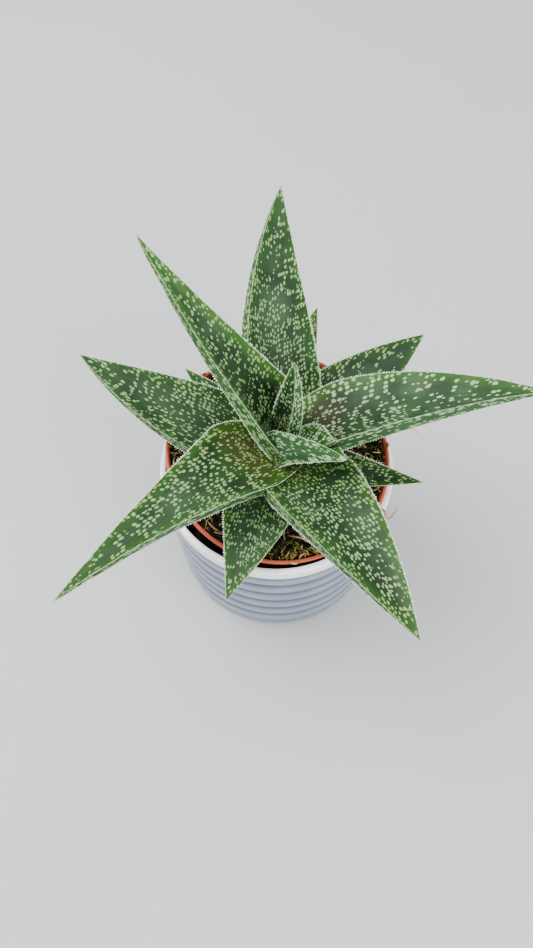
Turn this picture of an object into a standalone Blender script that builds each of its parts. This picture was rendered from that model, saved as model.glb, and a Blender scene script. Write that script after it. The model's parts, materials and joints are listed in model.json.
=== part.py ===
"""A potted gasteraloe: a rosette of keeled, toothed leaves in peat, in a plastic
grower's pot that stands tilted inside a ribbed ceramic cover pot.

Sizes are in millimetres and degrees and become metres when a mesh is made.
+Z is up, and the origin is the centre of the ceramic pot's flat underside.
"""
import math

import bmesh
import bpy
import numpy as np
from mathutils import Euler, Matrix, Vector, noise

MM = 0.001
GAP = 0.3

# Ceramic cover pot
POT_HEIGHT = 100.0
POT_RIM_RADIUS = 62.5
POT_FOOT_RADIUS = 59.0
POT_INNER_RADIUS = 59.2
POT_FLOOR_RADIUS = 55.2
POT_FLOOR_THICKNESS = 6.0
POT_RIM_BAND = 8.0
POT_RIM_PROUD = 0.8
POT_RIM_STEP = 1.0
POT_FOOT_BAND = 11.6
POT_FOOT_ROUND = 3.0
POT_FLOOR_ROUND = 4.0
RIB_COUNT = 6
RIB_BULGE = 1.1
RIB_STEPS = 3
POT_SIDES = 40

# Plastic grower's pot, in its own frame with the origin under its floor
GROWER_HEIGHT = 100.4
GROWER_LIP_RADIUS = 59.0
GROWER_LIP_DROP = 7.0
GROWER_TOP_RADIUS = 55.6
GROWER_FLOOR_RADIUS = 37.0
GROWER_WALL = 1.2
GROWER_LIP_WIDTH = 1.9
GROWER_LIP_TAPER = 0.9
GROWER_EDGE = 0.5
GROWER_HEEL = 3.0
GROWER_SIDES = 36
GROWER_LIP_CENTRE = (1.7, 0.2, 112.0)
GROWER_TILT_X = 8.2
GROWER_TILT_Y = 8.2
DRAIN_HOLE_COUNT = 6
DRAIN_HOLE_RADIUS = 4.0
DRAIN_HOLE_RING = 24.0
DRAIN_HOLE_START = 0.21
DRAIN_HOLE_SIDES = 12

# Peat that fills the grower's pot
SOIL_BELOW_LIP = 5.5
SOIL_DISH = 3.0
SOIL_RELIEF = 1.3
SOIL_GRAIN = 9.0
SOIL_RINGS = 9
SOIL_SIDES = 32

# Stem that the leaves grow from
STEM_RADIUS = 7.0
STEM_FOOT = 78.0
STEM_SHOULDER = 110.0
STEM_TOP = 118.5
STEM_TOP_RADIUS = 3.0
STEM_FOOT_TAPER = (1.5, 4.0)
STEM_SIDES = 20

# Leaves
RING_PITCH = 2.5
TOOTH_HEIGHT = 0.7
KEEL_FADE = 0.6
FLESH_CURVE = 0.7
BELLY_PARTS = (0.38, 0.72)
SIDE_DEPTH = 0.62
ROUND_KEEL = 0.95
CLASP_SHARE = 0.35
LEAF_ROOM = 0.5
UNDER_STEPS = (3.0, 6.0)
MITRE_LIMIT = 0.3
HEEL_DEPTH = 0.4


class Leaf:
    """One leaf, by the values that a grower could measure on it.

    heading is the compass direction half way along, counted from +X towards +Y,
    and turn is how far the leaf bends sideways from base to tip. rise is its
    slope at base and tip, roll is its lean about its own line, seen from the
    base, with the left side going up. The keel lies at the given share of the
    half width, on the left where it is above zero. clasp is how far the keel's
    side of the base reaches back round the stem. under names the inner leaves
    that it comes out from beneath, so that nothing of it lies on top of them.
    """

    def __init__(self, name, base, heading, turn, rise, length, width, roll=(0, 0), taper=1.4,
                 widest=0.25, base_share=0.5, channel=0.2, keel=0.5, depth=4.5, clasp=0,
                 under=()):
        self.name = name
        self.base = Vector(base)
        self.heading = heading
        self.turn = turn
        self.rise = rise
        self.length = length
        self.width = width
        self.roll = roll
        self.taper = taper
        self.widest = widest
        self.base_share = base_share
        self.channel = channel
        self.keel = keel
        self.depth = depth
        self.clasp = clasp
        self.under = under


# From the innermost leaf outwards: a leaf makes room for those named before it.
LEAVES = [
    Leaf("leaf_new", (2, 1, 119), 73, -8, (70, 70), 20, 5.5, keel=0.3, depth=2),
    Leaf("leaf_centre_right", (2.5, -2, 120), -35.5, -11, (44, 30), 47, 31, roll=(-36, -51),
         taper=1.0, widest=0.3, base_share=0.7, channel=0.68, keel=-0.42, depth=10.5),
    Leaf("leaf_centre_upright", (0, 3.5, 118), 59, 24, (72, 71), 52, 12.5, roll=(-14, -16),
         taper=1.8, base_share=0.7, keel=-1.5, depth=6.5),
    Leaf("leaf_upper_left", (1.5, 6, 119), 153, -34, (72, 43), 129, 38, roll=(4, 7),
         taper=0.9, widest=0.2, base_share=0.65, channel=0.42, keel=0.95, depth=8, clasp=8),
    Leaf("leaf_right", (7.5, 4, 117), 1, -9, (28, 11), 128, 46, roll=(-17, -27),
         taper=1.75, base_share=0.65, channel=0.45, keel=-0.8, depth=8,
         under=("leaf_centre_right",)),
    Leaf("leaf_lower_left", (-7.5, -3, 118), -134, 2, (28, 1), 130, 44, roll=(-9, 14),
         taper=0.87, widest=0.15, base_share=0.8, channel=0.3, keel=0.9, depth=8.5, clasp=12),
    Leaf("leaf_back", (5, 10, 112), 92, -24, (50, 36), 125, 42, roll=(27, 20),
         taper=1.55, widest=0.2, base_share=0.6, channel=0.35, keel=1.05, depth=8),
    Leaf("leaf_lower_right", (6, -7, 113), -61, -5, (24, 2), 117, 46, roll=(-10, -3),
         taper=1.45, widest=0.2, base_share=0.6, channel=0.35, keel=-1.0, depth=8,
         under=("leaf_lower_left",)),
    Leaf("leaf_left", (-9, 3, 113), 159, -22, (24, 14), 103, 40, roll=(2, 3),
         taper=1.5, channel=0.27, keel=1.0, depth=7),
    Leaf("leaf_back_right", (7, 6, 111), 37, 2, (21, 7), 93, 40, roll=(3, 1),
         taper=1.5, widest=0.3, keel=-0.5, depth=6),
    Leaf("leaf_front", (-3, -9, 109), -106, -7, (13, -4), 75.5, 38,
         taper=1.15, widest=0.3, channel=0.15, keel=0.5, depth=5),
    Leaf("leaf_right_small", (9, -3, 109), -15, 10, (12, 3), 68, 24, taper=1.3, keel=-0.5),
    Leaf("leaf_behind_back", (2, 9, 111), 72, -9, (31, 24), 72, 25, taper=1.5, widest=0.28),
    Leaf("leaf_back_left_small", (-7, 6, 111), 140, -6, (26, 15), 57, 22, channel=0.15),
]

# Colour, roughness and metallic value of each finish
FINISHES = {
    "glaze": ((0.80, 0.82, 0.86), 0.18),
    "plastic": ((0.52, 0.12, 0.06), 0.5),
    "peat": ((0.035, 0.025, 0.016), 0.95),
    "stem": ((0.20, 0.24, 0.08), 0.6),
    "leaf": ((0.09, 0.22, 0.07), 0.4),
}


def clear_scene():
    """Remove whatever the start-up file holds."""
    for item in list(bpy.data.objects):
        bpy.data.objects.remove(item, do_unlink=True)


def finish(name, kind):
    """A Principled material of its own for one piece."""
    colour, roughness = FINISHES[kind]
    material = bpy.data.materials.new(name)
    material.use_nodes = True
    shader = material.node_tree.nodes["Principled BSDF"]
    shader.inputs["Base Color"].default_value = (*colour, 1.0)
    shader.inputs["Roughness"].default_value = roughness
    shader.inputs["Metallic"].default_value = 0.0
    return material


def add_object(name, bm, kind, sharp_angle=35.0):
    """Turn a bmesh into a linked, smoothly shaded object."""
    bmesh.ops.recalc_face_normals(bm, faces=bm.faces)
    mesh = bpy.data.meshes.new(name)
    bm.to_mesh(mesh)
    bm.free()
    mesh.shade_smooth()
    mesh.set_sharp_from_angle(angle=math.radians(sharp_angle))
    mesh.materials.append(finish(name, kind))
    item = bpy.data.objects.new(name, mesh)
    bpy.context.scene.collection.objects.link(item)
    return item


def turned(profile, sides):
    """Spin a profile of (radius, height) points about Z into a closed solid."""
    bm = bmesh.new()
    points = [bm.verts.new((radius * MM, 0.0, height * MM)) for radius, height in profile]
    edges = [bm.edges.new(pair) for pair in zip(points, points[1:])]
    bmesh.ops.spin(bm, geom=points + edges, cent=(0, 0, 0), axis=(0, 0, 1),
                   angle=math.tau, steps=sides, use_merge=True)
    bmesh.ops.remove_doubles(bm, verts=bm.verts, dist=1e-6)
    bmesh.ops.dissolve_degenerate(bm, edges=bm.edges, dist=1e-6)
    return bm


def arc(centre, radius, start, end, steps):
    """Points on an arc in the (radius, height) plane, angles in degrees."""
    angles = np.radians(np.linspace(start, end, steps + 1))
    return [(centre[0] + radius * math.cos(a), centre[1] + radius * math.sin(a)) for a in angles]


def outer_wall(height):
    """Radius of the ceramic pot's plain tapering wall at a height."""
    widening = POT_RIM_RADIUS - POT_RIM_PROUD - POT_FOOT_RADIUS
    return POT_FOOT_RADIUS + widening * height / POT_HEIGHT


def make_ceramic_pot():
    """The cover pot: flat closed floor, foot band, six convex ribs and a rounded rim."""
    top_of_ribs = POT_HEIGHT - POT_RIM_BAND
    pitch = (top_of_ribs - POT_FOOT_BAND) / RIB_COUNT
    foot_corner = (outer_wall(0) - POT_FOOT_ROUND, POT_FOOT_ROUND)
    profile = [(0, 0)] + arc(foot_corner, POT_FOOT_ROUND, -90, 0, 2)
    for rib in range(RIB_COUNT):
        for step in range(RIB_STEPS):
            share = step / RIB_STEPS
            height = POT_FOOT_BAND + (rib + share) * pitch
            profile.append((outer_wall(height) + RIB_BULGE * math.sin(math.pi * share), height))
    profile.append((outer_wall(top_of_ribs), top_of_ribs))
    rim_round = (POT_RIM_RADIUS - POT_INNER_RADIUS) / 2
    rim_centre = (POT_RIM_RADIUS - rim_round, POT_HEIGHT - rim_round)
    profile.append((POT_RIM_RADIUS, top_of_ribs + POT_RIM_STEP))
    profile += arc(rim_centre, rim_round, 0, 180, 4)
    profile.append((POT_FLOOR_RADIUS, POT_FLOOR_THICKNESS + POT_FLOOR_ROUND))
    profile.append((POT_FLOOR_RADIUS - POT_FLOOR_ROUND, POT_FLOOR_THICKNESS))
    profile.append((0, POT_FLOOR_THICKNESS))
    return add_object("ceramic_pot", turned(profile, POT_SIDES), "glaze")


def grower_frame():
    """Where the tilted grower's pot stands: its floor's centre and its turn."""
    turn = Euler((math.radians(GROWER_TILT_X), math.radians(GROWER_TILT_Y), 0.0)).to_matrix()
    floor = Vector(GROWER_LIP_CENTRE) - turn @ Vector((0, 0, GROWER_HEIGHT))
    return Matrix.Translation(floor * MM) @ turn.to_4x4()


def grower_wall(height):
    """Outer radius of the grower's pot below its lip."""
    return GROWER_FLOOR_RADIUS + (GROWER_TOP_RADIUS - GROWER_FLOOR_RADIUS) * height / GROWER_HEIGHT


def make_grower_pot(frame):
    """The thin plastic pot with its stepped lip and the drain holes in its floor."""
    lip_foot = GROWER_HEIGHT - GROWER_LIP_DROP
    lip_inside = GROWER_LIP_RADIUS - GROWER_LIP_WIDTH
    skirt = GROWER_LIP_RADIUS - GROWER_LIP_TAPER
    profile = [
        (0, 0),
        (GROWER_FLOOR_RADIUS - GROWER_HEEL / 2, 0),
        (grower_wall(GROWER_HEEL), GROWER_HEEL),
        (grower_wall(lip_foot), lip_foot),
        (skirt - GROWER_EDGE, lip_foot),
        (skirt, lip_foot + 3 * GROWER_EDGE),
        (GROWER_LIP_RADIUS, GROWER_HEIGHT - GROWER_EDGE),
        (GROWER_LIP_RADIUS - GROWER_EDGE, GROWER_HEIGHT),
        (lip_inside + GROWER_EDGE, GROWER_HEIGHT),
        (lip_inside, GROWER_HEIGHT - GROWER_EDGE),
        (lip_inside - GROWER_EDGE, lip_foot + GROWER_WALL),
        (grower_wall(lip_foot) - GROWER_WALL, lip_foot - GROWER_WALL),
        (grower_wall(GROWER_HEEL) - GROWER_WALL, GROWER_HEEL),
        (GROWER_FLOOR_RADIUS - GROWER_HEEL, GROWER_WALL),
        (0, GROWER_WALL),
    ]
    pot = add_object("nursery_pot", turned(profile, GROWER_SIDES), "plastic")
    holes = []
    for turn in np.linspace(0, math.tau, DRAIN_HOLE_COUNT, endpoint=False) + DRAIN_HOLE_START:
        low, high = -GROWER_WALL, 2 * GROWER_WALL
        hole = turned([(0, low), (DRAIN_HOLE_RADIUS, low), (DRAIN_HOLE_RADIUS, high), (0, high)],
                      DRAIN_HOLE_SIDES)
        place = Vector((math.cos(turn), math.sin(turn), 0)) * DRAIN_HOLE_RING * MM
        bmesh.ops.translate(hole, verts=hole.verts, vec=place)
        holes.append(add_object("drain_hole", hole, "plastic"))
    cut(pot, holes)
    pot.matrix_world = frame
    return pot


def soil_height(x, y, reach):
    """Height of the peat in the grower's pot's frame, with a shallow dish and crumbs."""
    share = math.hypot(x, y) / reach
    dish = SOIL_DISH * (share ** 2 - 1)
    lumps = noise.noise(Vector((x, y, 0.0)) / SOIL_GRAIN)
    crumbs = noise.noise(Vector((x, y, SOIL_GRAIN)) / SOIL_GRAIN * 2)
    relief = SOIL_RELIEF * (lumps + crumbs / 2) * (1 - share ** 6)
    return GROWER_HEIGHT - SOIL_BELOW_LIP + dish + relief


def make_soil(frame):
    """Peat filling the grower's pot, with a plain hole for the stem."""
    inset = GROWER_WALL + 2 * GAP
    edge_height = GROWER_HEIGHT - SOIL_BELOW_LIP
    lip_foot = GROWER_HEIGHT - GROWER_LIP_DROP
    reach = grower_wall(lip_foot) - inset
    bm = bmesh.new()
    loops = []
    heel = GROWER_HEEL + 2 * GAP
    shoulder = lip_foot - GROWER_WALL - 2 * GAP
    for radius, height in ((GROWER_FLOOR_RADIUS - GROWER_HEEL - 2 * GAP, GROWER_WALL + GAP),
                           (grower_wall(heel) - inset, heel),
                           (grower_wall(shoulder) - inset, shoulder)):
        loops.append([(radius, height)] * SOIL_SIDES)
    for ring in range(SOIL_RINGS, 0, -1):
        radius = reach * ring / SOIL_RINGS
        loops.append([(radius, None)] * SOIL_SIDES)
    rows = []
    for loop in loops:
        row = []
        for side, (radius, height) in enumerate(loop):
            turn = math.tau * side / SOIL_SIDES
            x, y = radius * math.cos(turn), radius * math.sin(turn)
            z = min(soil_height(x, y, reach), edge_height) if height is None else height
            row.append(bm.verts.new((x * MM, y * MM, z * MM)))
        rows.append(row)
    for low, high in zip(rows, rows[1:]):
        for side in range(SOIL_SIDES):
            after = (side + 1) % SOIL_SIDES
            bm.faces.new((low[side], low[after], high[after], high[side]))
    for row, height in ((rows[0], GROWER_WALL + GAP), (rows[-1], soil_height(0, 0, reach))):
        middle = bm.verts.new((0, 0, height * MM))
        for side in range(SOIL_SIDES):
            bm.faces.new((row[side], row[(side + 1) % SOIL_SIDES], middle))
    bmesh.ops.triangulate(bm, faces=bm.faces)
    soil = add_object("soil", bm, "peat")
    soil.matrix_world = frame
    cut(soil, [make_stem("stem_hole", GAP)])
    return soil


def make_stem(name, clearance=0.0):
    """The short thick stem, with a shoulder that narrows to the growing point."""
    radius = STEM_RADIUS + clearance
    profile = [
        (0, STEM_FOOT - clearance),
        (radius - STEM_FOOT_TAPER[0], STEM_FOOT - clearance),
        (radius, STEM_FOOT + STEM_FOOT_TAPER[1]),
        (radius, STEM_SHOULDER),
        (STEM_TOP_RADIUS + clearance, STEM_TOP + clearance),
        (0, STEM_TOP + STEM_TOP_RADIUS / 6 + clearance),
    ]
    return add_object(name, turned(profile, STEM_SIDES), "stem")


def leaf_width(leaf, share):
    """Full width at a share of the length: a quick swell, then a long taper."""
    swell = min(share / leaf.widest, 1.0)
    grown = leaf.base_share + (1 - leaf.base_share) * swell * (2 - swell)
    past = max((share - leaf.widest) / (1 - leaf.widest), 0.0)
    return leaf.width * grown * (1 - past ** leaf.taper)


def leaf_line(leaf, count):
    """Points and frames (along, left, up) of the leaf's middle line."""
    shares = np.linspace(0.0, 1.0, count + 1)
    frames = []
    for share in shares:
        heading = math.radians(leaf.heading + leaf.turn * (share - 0.5))
        rise = math.radians(leaf.rise[0] + (leaf.rise[1] - leaf.rise[0]) * share)
        roll = math.radians(leaf.roll[0] + (leaf.roll[1] - leaf.roll[0]) * share)
        along = Vector((math.cos(rise) * math.cos(heading),
                        math.cos(rise) * math.sin(heading), math.sin(rise)))
        level = Vector((-math.sin(heading), math.cos(heading), 0.0))
        square = along.cross(level)
        left = math.cos(roll) * level + math.sin(roll) * square
        up = math.cos(roll) * square - math.sin(roll) * level
        frames.append((along, left, up))
    points = [leaf.base.copy()]
    for here, after in zip(frames, frames[1:]):
        points.append(points[-1] + (here[0] + after[0]) * leaf.length / count / 2)
    return shares, points, frames


def leaf_section(leaf, share, tooth):
    """Points (left, up) round the leaf at a share of its length.

    The upper face is a shallow channel between two thin margins. Under it the
    flesh deepens from the far margin to the keel, with a narrow side face
    between the keel and the near margin. A tooth stands out at each edge.
    """
    half = leaf_width(leaf, share) / 2
    depth = leaf.depth * (1 - share) ** KEEL_FADE
    keel = abs(leaf.keel)
    hand = math.copysign(1.0, leaf.keel)

    def upper(across):
        return leaf.channel * half * min(abs(across), 1.0) ** 2

    def under(across):
        flesh = (across + 1) / (1 + keel)
        return upper(across) - depth * flesh ** FLESH_CURVE

    side = (1 + keel) / 2
    if keel > ROUND_KEEL:
        side_height = (upper(1) + under(keel)) / 2
    else:
        side_height = upper(side) - SIDE_DEPTH * depth
    belly = [keel - (1 + keel) * part for part in BELLY_PARTS]
    slope = 2 * leaf.channel
    tooth_out = tooth / math.hypot(1, slope)
    margin = (half + tooth_out, upper(1) + slope * tooth_out)
    points = [(-margin[0], margin[1])]
    points += [(across * half, upper(across)) for across in (-0.5, 0.0, 0.5)]
    points += [margin, (side * half, side_height)]
    points += [(keel * half + 0.5 * tooth, under(keel) - 0.7 * tooth)]
    points += [(across * half, under(across)) for across in belly]
    return [(hand * left, up) for left, up in points]


def fattened(points, room):
    """The same outline, moved outwards by room on every side."""
    spots = [Vector(point) for point in points]
    befores = spots[-1:] + spots[:-1]
    afters = spots[1:] + spots[:1]
    twice_area = sum(a.x * b.y - b.x * a.y for a, b in zip(spots, afters))
    outwards = math.copysign(1.0, twice_area)
    grown = []
    for before, spot, after in zip(befores, spots, afters):
        sides = [Vector((b.y - a.y, a.x - b.x)).normalized() * outwards
                 for a, b in ((before, spot), (spot, after))]
        out = (sides[0] + sides[1]).normalized()
        grown.append(spot + out * room / max(out.dot(sides[0]), MITRE_LIMIT))
    return grown


def make_leaf(leaf, name, room=0.0):
    """One closed leaf. With room, it is the fatter shape that its neighbours clear."""
    count = max(8, round(leaf.length / RING_PITCH))
    shares, points, frames = leaf_line(leaf, count)
    hand = math.copysign(1.0, leaf.keel)
    bm = bmesh.new()
    rows = []
    for ring in range(count):
        along, left, up = frames[ring]
        toothed = room or (ring % 2 == 1 and 2 < ring < count - 1)
        section = leaf_section(leaf, shares[ring], TOOTH_HEIGHT if toothed else 0.0)
        if room:
            section = fattened(section, room)
        half = leaf_width(leaf, shares[ring]) / 2
        reach = leaf.clasp * max(1 - shares[ring] / CLASP_SHARE, 0.0) ** 2
        start = room if ring == 0 else 0.0
        row = []
        for across, height in section:
            back = start + reach * max(across * hand / half, 0.0)
            place = points[ring] + left * across + up * height - along * back
            row.append(bm.verts.new(place * MM))
        rows.append(row)
    for low, high in zip(rows, rows[1:]):
        for side in range(len(low)):
            after = (side + 1) % len(low)
            bm.faces.new((low[side], high[side], high[after]))
            bm.faces.new((low[side], high[after], low[after]))
    tip = bm.verts.new((points[-1] + frames[-1][0] * room * 3) * MM)
    heel = points[0] - frames[0][2] * leaf.depth * HEEL_DEPTH - frames[0][0] * room
    heel = bm.verts.new(heel * MM)
    for side in range(len(rows[0])):
        after = (side + 1) % len(rows[0])
        bm.faces.new((rows[-1][side], tip, rows[-1][after]))
        bm.faces.new((rows[0][side], rows[0][after], heel))
    return add_object(name, bm, "leaf", sharp_angle=50.0)


def keep_largest(mesh):
    """Drop every loose scrap, so that one body is left."""
    bm = bmesh.new()
    bm.from_mesh(mesh)
    left_over = set(bm.verts)
    bodies = []
    while left_over:
        body = set()
        edge_of_search = [left_over.pop()]
        while edge_of_search:
            vert = edge_of_search.pop()
            body.add(vert)
            for edge in vert.link_edges:
                other = edge.other_vert(vert)
                if other in left_over:
                    left_over.discard(other)
                    edge_of_search.append(other)
        bodies.append(body)
    bodies.sort(key=len)
    scraps = [vert for body in bodies[:-1] for vert in body]
    bmesh.ops.delete(bm, geom=scraps, context='VERTS')
    bmesh.ops.triangulate(bm, faces=bm.faces)
    bm.to_mesh(mesh)
    bm.free()


def cut(body, cutters):
    """Take each cutter out of a body, remove it and drop any scrap."""
    for cutter in cutters:
        step = body.modifiers.new("cut", 'BOOLEAN')
        step.operation = 'DIFFERENCE'
        step.solver = 'EXACT'
        step.object = cutter
        bpy.context.view_layer.update()
        evaluated = body.evaluated_get(bpy.context.evaluated_depsgraph_get())
        body.data = bpy.data.meshes.new_from_object(evaluated)
        body.modifiers.remove(step)
        bpy.data.objects.remove(cutter, do_unlink=True)
    keep_largest(body.data)


def make_leaves():
    """Every leaf, each cut back where an inner leaf or the stem already stands."""
    for place, leaf in enumerate(LEAVES):
        item = make_leaf(leaf, leaf.name)
        cutters = [make_stem("room_for_stem", GAP)]
        for inner in LEAVES[:place]:
            for height in (0.0, *UNDER_STEPS) if inner.name in leaf.under else (0.0,):
                room = make_leaf(inner, "room_for_" + inner.name, LEAF_ROOM)
                room.location.z = height * MM
                cutters.append(room)
        cut(item, cutters)


def main():
    clear_scene()
    make_ceramic_pot()
    frame = grower_frame()
    make_grower_pot(frame)
    make_soil(frame)
    make_stem("stem")
    make_leaves()


main()
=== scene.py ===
"""A potted gasteraloe: the looks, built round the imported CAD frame.

Leaf sizes and pot profiles are in millimetres, as a grower or a potter would
measure them, and become metres when a mesh is made. Settings in the sidebar
are in Blender's own metres. Run as a script, it builds every piece in order.
"""
import json
import math
from dataclasses import dataclass

import bmesh
import bpy
import numpy as np
from bpy.props import FloatProperty, FloatVectorProperty, IntProperty, PointerProperty
from mathutils import Euler, Matrix, Vector, noise
from mathutils.bvhtree import BVHTree

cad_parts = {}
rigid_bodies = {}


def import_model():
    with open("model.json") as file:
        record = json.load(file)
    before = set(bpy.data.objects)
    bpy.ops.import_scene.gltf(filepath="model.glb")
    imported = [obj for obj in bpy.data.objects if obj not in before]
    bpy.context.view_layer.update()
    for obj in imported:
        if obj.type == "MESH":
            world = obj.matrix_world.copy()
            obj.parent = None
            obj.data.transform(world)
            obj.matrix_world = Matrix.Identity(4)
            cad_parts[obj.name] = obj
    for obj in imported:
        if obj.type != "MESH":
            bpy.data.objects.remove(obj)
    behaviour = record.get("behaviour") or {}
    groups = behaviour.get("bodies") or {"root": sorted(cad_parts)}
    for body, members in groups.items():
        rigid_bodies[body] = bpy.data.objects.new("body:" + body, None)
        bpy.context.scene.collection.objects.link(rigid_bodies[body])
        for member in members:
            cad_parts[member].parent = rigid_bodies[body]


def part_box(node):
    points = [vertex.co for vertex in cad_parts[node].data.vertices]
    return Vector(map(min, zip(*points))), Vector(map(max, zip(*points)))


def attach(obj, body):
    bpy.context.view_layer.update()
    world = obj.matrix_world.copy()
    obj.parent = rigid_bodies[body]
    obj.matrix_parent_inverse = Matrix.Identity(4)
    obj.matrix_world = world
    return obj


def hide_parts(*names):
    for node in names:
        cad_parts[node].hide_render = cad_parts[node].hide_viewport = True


bl_info = {
    "name": "Potted gasteraloe",
    "version": (1, 0, 0),
    "blender": (4, 5, 0),
    "location": "View3D > Sidebar > Plant",
    "description": "Builds a potted gasteraloe round its packed frame",
    "category": "Add Mesh",
}

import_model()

MM = 0.001
BODY = "root"


def srgb(red, green, blue):
    """A colour read in steps of 0 to 255, as linear values."""
    steps = [step / 255 for step in (red, green, blue)]
    return tuple(s / 12.92 if s <= 0.04045 else ((s + 0.055) / 1.055) ** 2.4 for s in steps)


# Ceramic cover pot, in millimetres
POT_LOW, POT_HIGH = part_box("ceramic_pot")
POT_HEIGHT = (POT_HIGH.z - POT_LOW.z) / MM
POT_RIM_RADIUS = (POT_HIGH.x - POT_LOW.x) / 2 / MM
POT_FOOT_RADIUS = POT_RIM_RADIUS - 3.5
POT_INNER_RADIUS = POT_RIM_RADIUS - 3.3
POT_FLOOR_RADIUS = POT_RIM_RADIUS - 7.3
POT_FLOOR_THICKNESS = 6.0
POT_FLOOR_ROUND = 4.0
POT_RIM_BAND = 8.0
POT_RIM_PROUD = 0.8
POT_RIM_STEP = 1.0
POT_RIM_CORNER = 0.9
POT_FOOT_BAND = 11.6
POT_FOOT_ROUND = 3.0
FOOT_RING = 40.0
GROOVE_DEPTH = 0.8
GROOVE_WIDTH = 1.3
FOOT_RECESS = 0.6

# Plastic nursery pot, in its own frame with the origin under its floor
NURSERY_HEIGHT = 100.4
NURSERY_LIP_RADIUS = 59.0
NURSERY_LIP_DROP = 7.0
NURSERY_LIP_WIDTH = 1.9
NURSERY_LIP_TAPER = 0.9
NURSERY_TOP_RADIUS = 55.6
NURSERY_FLOOR_RADIUS = 37.0
NURSERY_WALL = 1.2
NURSERY_EDGE = 0.5
NURSERY_HEEL = 3.0
NURSERY_LIP_CENTRE = (1.7, 0.2, 112.0)
NURSERY_TILT = (8.2, 8.2)
NURSERY_LINES = (30, 60, 78)
NURSERY_LINE_RISE = 0.22
NURSERY_SHARP = 30.0
DRAIN_HOLE_COUNT = 6
DRAIN_HOLE_RADIUS = 4.0
DRAIN_HOLE_RING = 24.0
DRAIN_HOLE_START = 0.21

# Peat, in the nursery pot's frame
PEAT_BELOW_LIP = 5.5
PEAT_DISH = 3.0
PEAT_RELIEF = 1.3
PEAT_GRAIN = 9.0
PEAT_GAP = 0.6
PEAT_LIFT = 1.1
PEAT_LEDGE = ((52.6, 92.6), (56.1, 95.0))
PEAT_HEAP = ((56.1, 97.8), (55.2, 97.5), (53.9, 96.4))
HEAP_RELIEF = 0.9
HEAP_GRAIN = 7.0
CRUMB_RELIEF = 0.5
CRUMB_GRAIN = 2.6
MOSS_CUSHIONS = [(51, 8, 13), (52, -20, 11), (40, -2, 11), (-34, -41, 11), (-53, 3, 12),
                 (3, -51, 8), (24, -51, 6), (13, -54, 7), (-24, 42, 14)]
STRAW_PATCHES = [(-4, -54, 5), (5, -54, 5), (14, -53, 5), (41, 15, 4), (-51, -5, 5), (52, -14, 4),
                 (-36, 40, 6)]

# Stem
STEM_RADIUS = 7.0
STEM_FOOT = 78.0
STEM_SHOULDER = 110.0
STEM_TOP = 118.5
STEM_TOP_RADIUS = 3.0
STEM_CLEARANCE = 0.3

# Leaf sections
KEEL_FADE = 0.6
FLESH_CURVE = 0.7
SIDE_DEPTH = 0.62
ROUND_KEEL = 0.95
CLASP_SHARE = 0.35
HEEL_DEPTH = 0.4
UNDER_STEPS = (3.0, 6.0)
RING_STEP = 1.0
UPPER_STEPS = 28
SIDE_STEPS = 8
BELLY_STEPS = 18
WAVE_HEIGHT = 0.35
WAVE_LENGTH = 16.0
UNDERSIDE_SHIFT = 100.0
SKIN_SHIFT = 37.0
BLADE_SHARP = 62.0

# Teeth and gristle: the outline's margins and keel, each with its share of the full size
EDGE_GRADES = ((0, 1.0), (UPPER_STEPS, 0.55), (UPPER_STEPS + SIDE_STEPS, 0.85))
EDGE_LOST = 0.12
EDGE_FADE = 25.0
EDGE_END = 0.2
SMALLEST_TOOTH = 0.45
LARGEST_TOOTH = 1.3


@dataclass
class Leaf:
    """One leaf, by the values that a grower could measure on it.

    heading is the compass direction half way along, counted from +X towards +Y,
    and turn is how far the leaf bends sideways from base to tip. rise is its
    slope at base and tip, roll is its lean about its own line. The keel lies at
    the given share of the half width, on the left where it is above zero. clasp
    is how far the keel's side of the base reaches back round the stem. under
    names the inner leaves that it comes out from beneath. spots is the share of
    places that hold a spot, grain how large the spots are, bloom the strength of
    the grey on the middle, partly the leaf's waxy coat and partly painted sheen,
    rust how brown the base is and shade how bright the skin is painted: painted
    light and shade for how the light falls on that leaf, partly the fresher green
    of the young leaves. heart is how much painted shade darkens the middle of the
    rosette, with some of the bases' darker green, edging how bright the green is
    beside the margins, pale how white the spots are and dry how brown the point is.
    """
    name: str
    base: tuple
    heading: float
    turn: float
    rise: tuple
    length: float
    width: float
    roll: tuple = (0, 0)
    taper: float = 1.4
    widest: float = 0.25
    base_share: float = 0.5
    channel: float = 0.2
    keel: float = 0.5
    depth: float = 4.5
    clasp: float = 0
    under: tuple = ()
    spots: float = 0.48
    grain: float = 0.92
    bloom_and_sheen: float = 0.35
    rust: float = 0.3
    shade: float = 1.0
    heart_shade: float = 0.0
    edging: float = 0.6
    pale: float = 0.0
    dry: float = 0.0
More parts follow.
